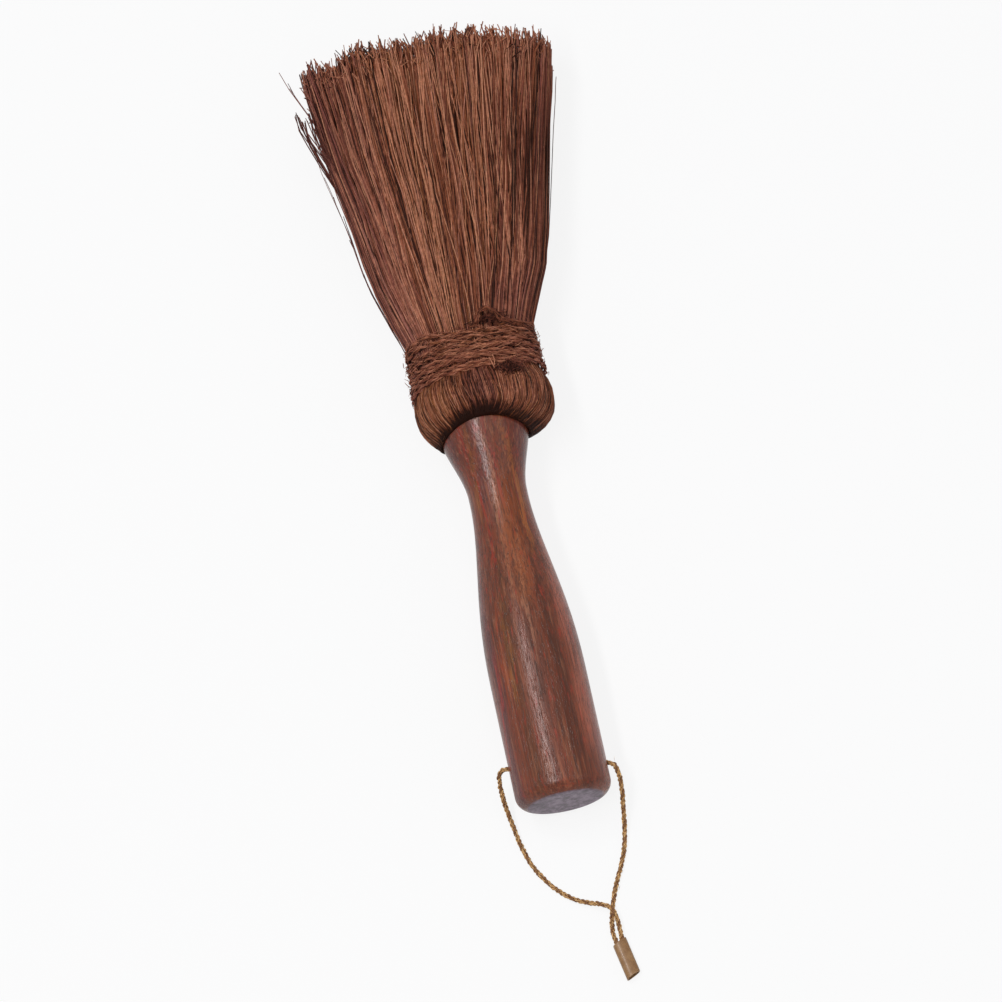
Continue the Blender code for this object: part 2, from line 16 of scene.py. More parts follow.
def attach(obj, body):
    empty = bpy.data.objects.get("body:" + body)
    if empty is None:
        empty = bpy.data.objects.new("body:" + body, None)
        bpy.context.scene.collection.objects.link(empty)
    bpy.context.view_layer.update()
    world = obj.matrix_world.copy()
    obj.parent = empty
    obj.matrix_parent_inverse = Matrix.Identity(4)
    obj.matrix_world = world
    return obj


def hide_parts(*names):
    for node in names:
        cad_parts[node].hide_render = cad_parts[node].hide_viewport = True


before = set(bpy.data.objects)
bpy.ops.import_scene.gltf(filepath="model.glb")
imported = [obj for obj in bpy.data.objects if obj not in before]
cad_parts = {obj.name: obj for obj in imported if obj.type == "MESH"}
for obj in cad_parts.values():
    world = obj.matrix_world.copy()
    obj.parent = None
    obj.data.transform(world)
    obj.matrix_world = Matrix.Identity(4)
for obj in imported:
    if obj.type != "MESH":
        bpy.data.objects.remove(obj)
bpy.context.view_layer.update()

MM = 0.001
# The brush's own frame as it lies in the row frame, and the turns of its bore and
# sleeve about the upright; the sleeve's mouth is in mm in the row frame
TILT = math.radians(2.5766)
BRUSH = Matrix.Translation((-7.5, -124.0509, 14.3325)) @ Matrix.Rotation(TILT, 4, "X")
BORE_SLANT = math.radians(-8.6)
SLEEVE_TURN = math.radians(10.1)
SLEEVE_MOUTH = (-0.9, -166.75, 1.7)
rng = np.random.default_rng(20)


def to_row(points):
    """Points in the brush's frame, in mm, as points in the row frame, in metres."""
    turn = np.array(BRUSH.to_3x3())
    return (np.asarray(points) @ turn.T + np.array(BRUSH.translation)) * MM


def off_floor(points):
    """Points in metres, eased up where they would sink into the floor."""
    height = points[..., 2] / MM
    eased = 0.1 + 0.9 * np.exp((np.minimum(height, 1) - 1) / 0.9)
    lifted = points.copy()
    lifted[..., 2] = np.where(height < 1, eased, height) * MM
    return lifted


def new_object(name, data):
    made = bpy.data.objects.new(name, data)
    bpy.context.scene.collection.objects.link(made)
    return made


# Camera, floor and light


# Fitted to the handle, the fan and the cord in the photograph: its side and the focal
# length in pixels, and the camera's place, lean and roll in the brush's frame
PHOTO_SIDE = 1002
FOCAL_LENGTH = 5232
CAMERA_PLACE = (0, -388.6, 1501.2)
CAMERA_LEAN = math.radians(17.85)
CAMERA_ROLL = math.radians(12.45)


def make_camera():
    """The photograph's camera."""
    back = Vector((0, -math.sin(CAMERA_LEAN), math.cos(CAMERA_LEAN)))
    up = Vector((0, math.cos(CAMERA_LEAN), math.sin(CAMERA_LEAN)))
    right = Vector((1, 0, 0))
    side = right * math.cos(CAMERA_ROLL) - up * math.sin(CAMERA_ROLL)
    top = right * math.sin(CAMERA_ROLL) + up * math.cos(CAMERA_ROLL)
    turn = Matrix((side, top, back)).transposed().to_4x4()
    world = BRUSH @ Matrix.Translation(CAMERA_PLACE) @ turn
    world.translation *= MM
    data = bpy.data.cameras.new("photo_camera")
    data.sensor_width = 36
    data.lens = 36 * FOCAL_LENGTH / PHOTO_SIDE
    data.shift_x = 0.0016
    data.shift_y = 0.0004
    data.clip_start = 0.05
    data.clip_end = 20
    camera = new_object("photo_camera", data)
    camera.matrix_world = world
    bpy.context.scene.camera = camera


# Lamps in watts, the world's strength, and the floor's share of plain white
WINDOW_POWER = 6.2
SOFTBOX_POWER = 2.9
SHINE_POWER = 6
FILL_POWER = 1.3
WORLD_STRENGTH = 0.30
FLOOR_WHITE = 0.86


def nodes_of(owner):
    """The emptied node tree of a material or the world."""
    owner.use_nodes = True
    owner.node_tree.nodes.clear()
    return owner.node_tree


def connect(tree, node, inputs):
    """Give each of a node's inputs its link, colour or value."""
    for socket, value in inputs.items():
        if isinstance(value, bpy.types.NodeSocket):
            tree.links.new(value, node.inputs[socket])
        elif node.inputs[socket].type == "RGBA":
            node.inputs[socket].default_value = (*value, 1)
        else:
            node.inputs[socket].default_value = value
    return node


def add_node(tree, kind, inputs):
    return connect(tree, tree.nodes.new(kind), inputs)


def white_share(tree):
    """1 for rays from the camera and in reflections, which see plain white."""
    path = tree.nodes.new("ShaderNodeLightPath").outputs
    seen = math_node(tree, "MAXIMUM", path["Is Camera Ray"], path["Is Glossy Ray"])
    return math_node(tree, "MAXIMUM", seen, path["Is Transmission Ray"])


def mix_shaders(tree, share, first, second, output):
    inputs = {0: share, 1: first.outputs[0], 2: second.outputs[0]}
    mixed = add_node(tree, "ShaderNodeMixShader", inputs)
    add_node(tree, output, {"Surface": mixed.outputs[0]})


def make_stage():
    """A pale floor and a world that the camera sees as white."""
    size = 3
    corners = [(-size, -size, 0), (size, -size, 0), (size, size, 0), (-size, size, 0)]
    mesh = bpy.data.meshes.new("floor")
    mesh.from_pydata(corners, [], [(0, 1, 2, 3)])
    floor = new_object("floor", mesh)
    material = bpy.data.materials.new("floor_white")
    tree = nodes_of(material)
    plain = add_node(tree, "ShaderNodeBsdfDiffuse", {"Color": (0.86, 0.86, 0.87)})
    white = {"Color": (1, 1, 1), "Strength": 1}
    glow = add_node(tree, "ShaderNodeEmission", white)
    share = math_node(tree, "MULTIPLY", white_share(tree), FLOOR_WHITE)
    mix_shaders(tree, share, plain, glow, "ShaderNodeOutputMaterial")
    mesh.materials.append(material)

    world = bpy.data.worlds.new("studio")
    bpy.context.scene.world = world
    tree = nodes_of(world)
    pale = {"Color": (0.95, 0.97, 1), "Strength": WORLD_STRENGTH}
    light = add_node(tree, "ShaderNodeBackground", pale)
    glow = add_node(tree, "ShaderNodeBackground", white)
    mix_shaders(tree, white_share(tree), light, glow, "ShaderNodeOutputWorld")


def make_lamp(name, place, size, power):
    """A window-like lamp that faces the brush, with its long side along y."""
    data = bpy.data.lights.new(name, "AREA")
    data.shape = "RECTANGLE"
    data.size, data.size_y = size
    data.energy = power
    lamp = new_object(name, data)
    back = Vector(place).normalized()
    along = (Vector((0, 1, 0)) - back * back.y).normalized()
    turn = Matrix((along.cross(back), along, back)).transposed().to_4x4()
    lamp.matrix_world = Matrix.Translation(place) @ turn
    return lamp


def make_light():
    """A narrow window, a broad softbox, a side fill, and a lamp for the sheen alone."""
    make_lamp("window", (-0.36, -0.06, 1.15), (0.11, 1.0), WINDOW_POWER)
    shine = make_lamp("shine", (-0.36, -0.06, 1.16), (0.2, 1.0), SHINE_POWER)
    shine.visible_diffuse = False
    make_lamp("softbox", (0.0, -0.06, 1.2), (0.8, 1.0), SOFTBOX_POWER)
    make_lamp("fill", (0.85, -0.35, 0.85), (0.7, 0.7), FILL_POWER)


# Shared shapes


def curve_through(xs, ys, x):
    """A smooth curve through a table's points, read at x."""
    xs = np.asarray(xs, float)
    ys = np.asarray(ys, float)
    slope = np.gradient(ys, xs, axis=0)
    i = np.clip(np.searchsorted(xs, x, side="right") - 1, 0, len(xs) - 2)
    step = xs[i + 1] - xs[i]
    t = np.clip((x - xs[i]) / step, 0, 1)
    if ys.ndim > 1:
        step, t = step[..., None], t[..., None]
    return (
        ys[i] * (2 * t**3 - 3 * t**2 + 1)
        + slope[i] * step * (t**3 - 2 * t**2 + t)
        + ys[i + 1] * (3 * t**2 - 2 * t**3)
        + slope[i + 1] * step * (t**3 - t**2)
    )


def rise(value, start, width):
    """A value's way from start over a width, as a share from 0 to 1."""
    return np.clip((value - start) / width, 0, 1)


def bell(value, middle, width):
    return np.exp(-(((value - middle) / width) ** 2))


def unit(vectors):
    return vectors / np.maximum(np.linalg.norm(vectors, axis=-1, keepdims=True), 1e-9)


def walked(points):
    """Distance along each path, from its first point."""
    steps = np.linalg.norm(np.diff(points, axis=-2), axis=-1)
    start = np.zeros(steps.shape[:-1] + (1,))
    return np.concatenate([start, np.cumsum(steps, axis=-1)], axis=-1)


def quads_between(index):
    """Faces between neighbouring rings of point numbers, (..., rings, sides)."""
    low, high = index[..., :-1, :], index[..., 1:, :]
    corners = [low, np.roll(low, -1, -1), np.roll(high, -1, -1), high]
    return np.stack(corners, -1).reshape(-1, 4)


def columns_at(table, x):
    """A table's other columns, read at x along its first."""
    table = np.array(table)
    return np.moveaxis(curve_through(table[:, 0], table[:, 1:], x), -1, 0)


def smooth_path(points, step):
    """Points about a step apart on a smooth curve through the given ones."""
    points = np.asarray(points, float)
    knots = walked(points)
    fine = curve_through(knots, points, np.linspace(0, knots[-1], 40 * len(points)))
    along = walked(fine)
    count = max(2, int(round(along[-1] / step)) + 1)
    even = np.linspace(0, along[-1], count)
    return np.column_stack([np.interp(even, along, fine[:, k]) for k in range(3)])


def new_piece(name, mesh, material, body, nodes=()):
    piece = new_object(name, mesh)
    mesh.materials.append(material)
    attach(piece, body)
    if nodes:
        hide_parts(*nodes)
    return piece


def paint(mesh, **fields):
    """Values at a mesh's points, which its material reads by name."""
    for label, values in fields.items():
        field = mesh.attributes.new(label, "FLOAT", "POINT")
        field.data.foreach_set("value", values.astype(np.float32))


# Each tube's own cell of the UV map, in shares of it: its margin and what is left
UV_MARGIN = 0.04
UV_INSIDE = 0.92


def strand_mesh(name, groups, sides=4):
    """One mesh of many fine tubes.

    Each group is a dict of paths (tubes, points, 3) in metres in the row frame, of
    radii, tone and hue that fit (tubes, points), and of across, a direction that the
    tube's sides are counted from. The material reads tone and hue."""
    places, faces, uvs, tones, hues = [], [], [], [], []
    caps, cap_uvs = [], []
    tubes_in_all = sum(len(group["paths"]) for group in groups)
    columns = int(math.ceil(math.sqrt(tubes_in_all)))
    start_vertex = 0
    start_tube = 0
    for group in groups:
        paths = group["paths"]
        tubes, count, _ = paths.shape
        each = np.zeros((tubes, count))
        ahead = unit(np.gradient(paths, axis=1))
        across = np.asarray(group["across"])
        across = unit(across - ahead * (across * ahead).sum(-1, keepdims=True))
        other = np.cross(ahead, across)
        turn = rng.uniform(0, math.tau, tubes)[:, None, None]
        turn = turn + np.arange(sides) * math.tau / sides
        ring = paths[:, :, None] + (group["radii"] + each)[:, :, None, None] * (
            np.cos(turn)[..., None] * across[:, :, None]
            + np.sin(turn)[..., None] * other[:, :, None]
        )
        places.append(ring.reshape(-1, 3))
        index = np.arange(tubes * count * sides).reshape(tubes, count, sides)
        index = start_vertex + index
        faces.append(quads_between(index))
        number = start_tube + np.arange(tubes)
        low = np.stack([number % columns, number // columns], -1) + UV_MARGIN
        side = np.arange(sides)[:, None] / sides + np.array([0, 1, 1, 0]) / sides
        steps = np.linspace(0, 1, count)
        steps = np.stack([steps[:-1], steps[:-1], steps[1:], steps[1:]], -1)
        corners = np.zeros((tubes, count - 1, sides, 4, 2)) + low[:, None, None, None]
        spread = np.broadcast_arrays(side, steps[:, None])
        corners += UV_INSIDE * np.stack(spread, -1)
        uvs.append(corners.reshape(-1, 2) / columns)
        for end, order in ((0, slice(None, None, -1)), (-1, slice(None))):
            caps.append(index[:, end, order])
            middle = low + np.array([UV_INSIDE / 2, -end * UV_INSIDE])
            cap_uvs.append(np.repeat(middle, sides, axis=0) / columns)
        tones.append(np.repeat((group["tone"] + each).ravel(), sides))
        hues.append(np.repeat((group["hue"] + each).ravel(), sides))
        start_vertex += tubes * count * sides
        start_tube += tubes
    places = np.concatenate(places)
    faces = np.concatenate(faces)
    caps = np.concatenate(caps)
    loops = np.concatenate([faces.ravel(), caps.ravel()])
    totals = np.concatenate([np.full(len(faces), 4), np.full(len(caps), sides)])
    starts = np.concatenate([[0], np.cumsum(totals)[:-1]])
    mesh = bpy.data.meshes.new(name)
    mesh.vertices.add(len(places))
    mesh.vertices.foreach_set("co", places.astype(np.float32).ravel())
    mesh.loops.add(len(loops))
    mesh.loops.foreach_set("vertex_index", loops.astype(np.int32))
    mesh.polygons.add(len(totals))
    mesh.polygons.foreach_set("loop_start", starts.astype(np.int32))
    mesh.update(calc_edges=True)
    mesh.shade_smooth()
    layer = mesh.uv_layers.new(name="OFBake")
    both = np.concatenate(uvs + cap_uvs)
    layer.uv.foreach_set("vector", both.astype(np.float32).ravel())
    paint(mesh, tone=np.concatenate(tones), hue=np.concatenate(hues))
    return mesh


# Materials


def ramp(tree, source, stops):
    node = add_node(tree, "ShaderNodeValToRGB", {"Fac": source})
    elements = node.color_ramp.elements
    while len(elements) < len(stops):
        elements.new(0.5)
    for element, (place, colour) in zip(elements, stops):
        element.position = place
        element.color = (*colour, 1)
    return node.outputs["Color"]


def noise(tree, vector, scale, detail=2, rough=0.5, distortion=0):
    inputs = {"Vector": vector, "Scale": scale, "Detail": detail}
    inputs.update({"Roughness": rough, "Distortion": distortion})
    return add_node(tree, "ShaderNodeTexNoise", inputs).outputs["Fac"]


def mix_colour(tree, factor, a, b, mode="MIX"):
    node = tree.nodes.new("ShaderNodeMix")
    node.data_type = "RGBA"
    node.blend_type = mode
    return connect(tree, node, {0: factor, 6: a, 7: b}).outputs[2]


def math_node(tree, operation, *values, clamp=False):
    node = add_node(tree, "ShaderNodeMath", dict(enumerate(values)))
    node.operation = operation
    node.use_clamp = clamp
    return node.outputs[0]


def stretch(tree, value, low, high, to_low=0.0, to_high=1.0, smooth=False):
    inputs = dict(enumerate((value, low, high, to_low, to_high)))
    node = add_node(tree, "ShaderNodeMapRange", inputs)
    if smooth:
        node.interpolation_type = "SMOOTHSTEP"
    return node.outputs[0]


def attribute(tree, name):
    node = tree.nodes.new("ShaderNodeAttribute")
    node.attribute_name = name
    return node.outputs["Fac"]


def object_place(tree):
    return tree.nodes.new("ShaderNodeTexCoord").outputs["Object"]


def new_material(name, roughness, specular):
    """A material with its node tree and its shader, which is on the output."""
    material = bpy.data.materials.new(name)
    tree = nodes_of(material)
    inputs = {"Roughness": roughness, "Specular IOR Level": specular}
    shader = add_node(tree, "ShaderNodeBsdfPrincipled", inputs)
    add_node(tree, "ShaderNodeOutputMaterial", {"Surface": shader.outputs[0]})
    return material, tree, shader


def bump(tree, shader, height, strength, distance):
    inputs = {"Strength": strength, "Distance": distance, "Height": height}
    node = add_node(tree, "ShaderNodeBump", inputs)
    connect(tree, shader, {"Normal": node.outputs[0]})


def fibre_material(name, dark, middle, light, purple, golden, roughness):
    """Coconut fibre: each strand has its own tone and hue, and fine darker patches."""
    material, tree, shader = new_material(name, roughness, 0.11)
    tone = attribute(tree, "tone")
    shown = math_node(tree, "MULTIPLY", tone, 2.5, clamp=True)
    hue = math_node(tree, "MULTIPLY", attribute(tree, "hue"), shown)
    # deep is the darkest stop, which the painted shade at the lip, in the core and deep
    # in the fan reaches, as do the darkest strands
    deep = tuple(0.4 * channel for channel in dark)
    colour = ramp(tree, tone, ((0.0, deep), (0.1, dark), (0.5, middle), (1.0, light)))
    colour = mix_colour(tree, math_node(tree, "MAXIMUM", hue, 0), colour, purple)
    gold = math_node(tree, "MAXIMUM", math_node(tree, "MULTIPLY", hue, -1), 0)
    colour = mix_colour(tree, gold, colour, golden)
    spots = noise(tree, object_place(tree), 900, 2)
    spots = stretch(tree, spots, 0.35, 0.65, 0.8, 1.15)
    grey = add_node(tree, "ShaderNodeCombineColor", {0: spots, 1: spots, 2: spots})
    colour = mix_colour(tree, 1.0, colour, grey.outputs[0], "MULTIPLY")
    connect(tree, shader, {"Base Color": colour})
    return material


# Streaks of the wood's grain, one of them partly a painted highlight: x at y = 45, how
# it leans with y, half width, first and last y, colour and strength
STREAKS = (
    (-13.2, 0.02, 2.2, -5, 130, (0.12, 0.032, 0.036), 0.7),
    (-11.8, 0.10, 0.7, 12, 42, (0.34, 0.028, 0.018), 0.8),
    (-9.3, 0.10, 0.9, 34, 58, (0.34, 0.062, 0.018), 0.85),
    (-7.0, 0.06, 1.0, 32, 58, (0.32, 0.120, 0.022), 0.85),
    (-5.6, 0.02, 1.5, 0, 74, (0.105, 0.038, 0.016), 0.7),
    (-3.4, 0.01, 0.8, 5, 90, (0.20, 0.062, 0.030), 0.6),
    (1.4, -0.02, 0.7, 48, 72, (0.36, 0.150, 0.085), 0.75),
    (3.6, -0.03, 0.9, -5, 60, (0.15, 0.050, 0.026), 0.5),
    (6.3, -0.045, 1.0, 8, 90, (0.095, 0.024, 0.010), 0.85),
    (8.6, -0.05, 0.9, 20, 80, (0.18, 0.042, 0.016), 0.6),
    (10.8, -0.02, 2.0, 15, 95, (0.42, 0.115, 0.068), 0.85),
    (12.8, -0.01, 1.2, -5, 60, (0.30, 0.090, 0.068), 0.7),
    (1.5, -0.01, 3.0, 62, 98, (0.34, 0.100, 0.034), 0.6),
    (-8.6, 0.03, 3.2, 44, 72, (0.12, 0.036, 0.018), 0.45),
    (-8.2, 0.00, 0.8, 108, 118, (0.38, 0.035, 0.018), 0.85),
    (-6.5, 0.00, 0.9, 92, 116, (0.26, 0.082, 0.020), 0.8),
    (-3.6, 0.00, 1.7, 90, 120, (0.16, 0.048, 0.044), 0.7),
    # Partly painted highlight: a pale grain streak laid along the neck's sheen
    (-0.4, 0.00, 0.6, 84, 114, (0.44, 0.170, 0.100), 0.8),
    (1.2, 0.00, 0.7, 95, 120, (0.31, 0.032, 0.020), 0.75),
    (3.4, 0.00, 1.6, 80, 120, (0.20, 0.045, 0.012), 0.85),
    (5.7, 0.00, 0.9, 78, 118, (0.38, 0.110, 0.024), 0.85),
    (7.6, 0.00, 0.8, 85, 120, (0.27, 0.048, 0.022), 0.7),
    (10.2, 0.00, 1.8, 85, 125, (0.16, 0.046, 0.046), 0.75),
    (-2.4, 0.02, 0.5, 60, 96, (0.34, 0.125, 0.055), 0.7),
    (-6.8, 0.03, 0.5, 74, 98, (0.32, 0.030, 0.020), 0.7),
)


# The wood's colour over its length and round it, and its end face, whose grey mauve is
# partly a painted reflection: noise and colour
WOOD_COLOURS = (
    (0.32, (0.100, 0.024, 0.010)),
    (0.45, (0.175, 0.042, 0.019)),
    (0.56, (0.220, 0.052, 0.024)),
    (0.68, (0.280, 0.078, 0.038)),
)
END_GRAIN_AND_REFLECTION = (
    (0.36, (0.085, 0.056, 0.074)),
    (0.48, (0.150, 0.104, 0.140)),
    (0.62, (0.30, 0.225, 0.285)),
)
# How far the streaks lie to the right of the x given for them
STREAK_SHIFT = 1.6
# Fine dark grain, pale grain, red flecks and pores: the noise's share along y, shift,
# scale, detail and roughness, where it starts and ends, its strength and colour
GRAIN = (
    (0.03, 0.3, 1.5, 3, 0.65, 0.48, 0.64, 0.7, (0.062, 0.020, 0.011)),
    (0.05, 1.1, 1.1, 3, 0.6, 0.54, 0.70, 0.55, (0.36, 0.130, 0.065)),
    (0.14, 3.7, 1.1, 2, 0.5, 0.60, 0.70, 0.5, (0.36, 0.040, 0.020)),
    (0.09, 3.1, 3.6, 2, 0.6, 0.56, 0.66, 0.6, (0.035, 0.012, 0.008)),
)


def wood_material():
    """Oiled reddish-brown wood: long streaks, fine grain, pores and its end face."""
    material, tree, shader = new_material("oiled_wood", 0.3, 0.23)
    to_brush = {
        "Vector": object_place(tree),
        "Location": tuple(BRUSH.translation * MM),
        "Rotation": (TILT, 0, 0),
        "Scale": (MM, MM, MM),
    }
    local = tree.nodes.new("ShaderNodeMapping")
    local.vector_type = "TEXTURE"
    local = connect(tree, local, to_brush).outputs[0]

    def grained(share, shift=0.0):
        inputs = {"Vector": local, "Scale": (1, share, 1), "Location": (shift,) * 3}
        return add_node(tree, "ShaderNodeMapping", inputs).outputs[0]

    def both(a, b):
        return math_node(tree, "MULTIPLY", a, b)

    split = add_node(tree, "ShaderNodeSeparateXYZ", {0: local}).outputs
    y = split["Y"]
    sway = stretch(tree, noise(tree, grained(0.25), 0.16, 2), 0.3, 0.7, -1.1, 1.1)
    frayed = stretch(tree, noise(tree, grained(0.03, 5), 2.2, 3), 0.3, 0.7, -0.8, 0.8)
    x = math_node(tree, "ADD", split["X"], math_node(tree, "ADD", sway, frayed))
    x = math_node(tree, "ADD", x, both(split["Z"], 0.12))
    x = math_node(tree, "SUBTRACT", x, STREAK_SHIFT)

    colour = ramp(tree, noise(tree, grained(0.10, 2), 0.16, 3, 0.6, 0.3), WOOD_COLOURS)
    for middle, lean, half, first, last, shade, strength in STREAKS:
        shift = stretch(tree, y, 0, 90, middle - 45 * lean, middle + 45 * lean)
        off = math_node(tree, "ABSOLUTE", math_node(tree, "SUBTRACT", x, shift))
        near = stretch(tree, off, half * 1.25, half * 0.35, 0, strength, smooth=True)
        start = stretch(tree, y, first - 8, first + 3, 0, 1, smooth=True)
        end = stretch(tree, y, last + 8, last - 3, 0, 1, smooth=True)
        colour = mix_colour(tree, both(near, both(start, end)), colour, shade)

    # Painted shade: the wood darkens towards the fibre's lip
    lip = stretch(tree, y, 92, 114, 0, 0.48, smooth=True)
    colour = mix_colour(tree, lip, colour, (0.13, 0.026, 0.015))
    layers = []
    for share, shift, scale, detail, rough, low, high, strength, shade in GRAIN:
        layers.append(noise(tree, grained(share, shift), scale, detail, rough))
        shown = stretch(tree, layers[-1], low, high, 0, strength)
        colour = mix_colour(tree, shown, colour, shade)
    # Painted reflection: the end face's grey mauve stands for the pale floor seen in it
    # at a grazing angle, over the end grain's own colour
    end = stretch(tree, y, -0.55, -0.8, 0, 1)
    face = ramp(tree, noise(tree, grained(1, 7), 0.42, 5, 0.7), END_GRAIN_AND_REFLECTION)
    colour = mix_colour(tree, end, colour, face)
    rough = stretch(tree, layers[0], 0.3, 0.7, 0.20, 0.35)
    neck = stretch(tree, y, 84, 110, 0, -0.12, smooth=True)
    rough = math_node(tree, "ADD", rough, neck)
    rough = math_node(tree, "ADD", rough, both(end, 0.15))
    connect(tree, shader, {"Base Color": colour, "Roughness": rough})
    pore = stretch(tree, layers[3], 0.56, 0.66, 0, 1)
    height = math_node(tree, "SUBTRACT", layers[0], both(pore, 0.8))
    bump(tree, shader, height, 0.5, 0.00015)
    return material


def cord_material():
    """Twisted cord: golden and brown plies of fine yarn."""
    material, tree, shader = new_material("twisted_cord", 0.6, 0.3)
    stops = (
        (0.0, (0.13, 0.055, 0.022)),
        (0.35, (0.29, 0.13, 0.05)),
        (0.7, (0.63, 0.36, 0.135)),
        (1.0, (0.74, 0.47, 0.21)),
    )
    colour = ramp(tree, attribute(tree, "tone"), stops)
    spots = stretch(tree, noise(tree, object_place(tree), 1600, 2), 0.55, 0.75, 0, 0.5)
    colour = mix_colour(tree, spots, colour, (0.16, 0.07, 0.03))
    connect(tree, shader, {"Base Color": colour})
    return material


def sleeve_material():
    """Satin tan sleeve with faint lengthwise rub marks."""
    material, tree, shader = new_material("tan_sleeve", 0.38, 0.45)
    place = object_place(tree)
    inputs = {"Vector": place, "Rotation": (0, 0, -SLEEVE_TURN), "Scale": (1, 0.15, 1)}
    local = add_node(tree, "ShaderNodeMapping", inputs)
    rubs = noise(tree, local.outputs[0], 1500, 3)
    stops = (
        (0.32, (0.235, 0.115, 0.042)),
        (0.5, (0.28, 0.145, 0.055)),
        (0.7, (0.32, 0.175, 0.075)),
    )
    colour = ramp(tree, noise(tree, place, 420, 3), stops)
    worn = stretch(tree, rubs, 0.55, 0.72, 0, 0.28)
    colour = mix_colour(tree, worn, colour, (0.17, 0.08, 0.03))
    rough = stretch(tree, rubs, 0.3, 0.7, 0.32, 0.48)
    connect(tree, shader, {"Base Color": colour, "Roughness": rough})
    bump(tree, shader, rubs, 0.2, 0.0001)
    return material


def wire_material():
    """Dull steel of the tie."""
    material, tree, shader = new_material("tie_wire_steel", 0.35, 0.5)
    stops = ((0.3, (0.35, 0.33, 0.31)), (0.7, (0.55, 0.53, 0.5)))
    colour = ramp(tree, noise(tree, object_place(tree), 700, 3), stops)
    connect(tree, shader, {"Base Color": colour, "Metallic": 1})
    return material


# Handle


def ease(share):
    """A smooth step from 0 to 1."""
    return share * share * (3 - 2 * share)


def flare_radius(y):
    """The handle's radius where it flares into the fold."""
    return 8.95 + 5.05 * ease(rise(y, 97.0, 23.3))


def handle_profile():
    """(radius, y) of the turned handle, from the butt's middle to the spigot's end."""
    profile = [(radius, -0.9) for radius in (0.01, 3.5, 7, 9.6)]
    for angle in np.radians(np.linspace(0, 90, 12)):
        profile.append((10.2 + 4.3 * math.sin(angle), 3.4 - 4.3 * math.cos(angle)))
    profile += [(14.5, y) for y in np.arange(6, 35, 3)]
    for share in np.linspace(0, 1, 34):
        profile.append((14.5 - 5.55 * ease(share**1.3), 36 + 59 * share))
    profile += [(float(flare_radius(y)), y) for y in np.linspace(97, 120.3, 26)]
    for angle in np.radians(np.linspace(15, 90, 6)):
        radius = 12.8 + 1.2 * math.cos(angle)
        profile.append((radius, 120.3 + 1.2 * math.sin(angle)))
    profile += [(5.6, 121.5), (5.5, 121.6), (5.5, 136), (4.5, 137), (0.01, 137)]
    return profile


def full_turn(count):
    return np.linspace(0, math.tau, count + 1)[:-1]


def oval(around, y, half, depth, middle=0, drop=0):
    """A ring of points at one distance along the brush."""
    x = middle + half * np.cos(around)
    return np.stack([x, np.full(len(around), y), depth * np.sin(around) - drop], -1)


def from_rings(name, rings, capped=True):
    """A mesh of quads through closed rings of as many points each, in metres."""
    places = np.concatenate(rings)
    index = np.arange(len(places)).reshape(len(rings), -1)
    faces = quads_between(index).tolist()
    if capped:
        faces += [index[0, ::-1].tolist(), index[-1].tolist()]
    mesh = bpy.data.meshes.new(name)
    mesh.from_pydata(places.tolist(), [], faces)
    mesh.validate()
    mesh.shade_smooth()
    return mesh


def face_out(mesh, weld=0):
    """Turn all faces outward, after joining points that lie within a distance."""
    made = bmesh.new()
    made.from_mesh(mesh)
    if weld:
        bmesh.ops.remove_doubles(made, verts=made.verts, dist=weld)
    bmesh.ops.recalc_face_normals(made, faces=made.faces)
    made.to_mesh(mesh)
    made.free()


BORE_RADIUS = 1.7
BORE_Y = 10.5
HANDLE_SIDES = 160
BORE_SIDES = 40
# Edges of the handle that bend by more than this are sharp
HANDLE_CREASE = math.radians(42)


def make_handle(material):
    """The turned handle with the bore through it."""
    around = full_turn(HANDLE_SIDES)
    rings = [to_row(oval(around, y, radius, radius)) for radius, y in handle_profile()]
    solid = new_object("turned_handle_solid", from_rings("turned_handle", rings))
    way = np.array([math.cos(BORE_SLANT), math.sin(BORE_SLANT), 0])
    side = np.array([-math.sin(BORE_SLANT), math.cos(BORE_SLANT), 0])
    around = full_turn(BORE_SIDES)
    circle = np.cos(around)[:, None] * side + np.sin(around)[:, None] * [0, 0, 1]
    middle = np.array([0, BORE_Y, 0])
    ends = [to_row(middle + way * far + BORE_RADIUS * circle) for far in (-20, 20)]
    cutter = new_object("bore_cutter", from_rings("bore_cutter", ends))
    for thing in (solid, cutter):
        face_out(thing.data)
    bore = solid.modifiers.new("bore", "BOOLEAN")
    bore.operation = "DIFFERENCE"
    bore.object = cutter
    bore.solver = "EXACT"
    graph = bpy.context.evaluated_depsgraph_get()
    bored = bpy.data.meshes.new_from_object(solid.evaluated_get(graph))
    bored.name = "turned_handle"
    for thing in (solid, cutter):
        bpy.data.objects.remove(thing, do_unlink=True)
    bored.shade_smooth()
    bored.set_sharp_from_angle(angle=HANDLE_CREASE)
    new_piece("turned_handle", bored, material, "brush", ["handle"])


# Fan of bristles

# Distance, middle x, half width, half depth, drop of the middle
FAN = (
    (134.0, 1.7, 18.2, 15.6, 0.0),
    (143.0, 1.8, 18.9, 12.6, 0.0),
    (147.0, 1.85, 19.5, 11.5, 0.0),
    (149.5, 2.0, 20.3, 11.5, 0.0),
    (152.5, 2.15, 21.45, 12.0, 0.1),
    (156.7, 2.4, 23.0, 12.3, 0.4),
    (160.0, 2.75, 24.25, 12.4, 0.8),
    (164.5, 3.15, 25.75, 12.5, 1.2),
    (172.0, 3.5, 27.9, 12.7, 1.9),
    (180.0, 3.9, 29.2, 12.9, 2.5),
    (188.0, 4.5, 30.5, 13.2, 3.1),
    (196.0, 4.75, 31.95, 13.5, 3.8),
    (206.0, 5.0, 33.9, 13.9, 4.6),
    (214.0, 5.4, 35.3, 14.3, 5.2),
    (222.0, 6.1, 36.7, 14.7, 5.9),
    (230.0, 6.75, 37.75, 15.1, 6.5),
    (240.0, 7.3, 39.2, 15.6, 7.3),
    (249.0, 7.8, 39.8, 16.0, 8.0),
    (256.0, 8.05, 40.35, 16.3, 8.4),
)
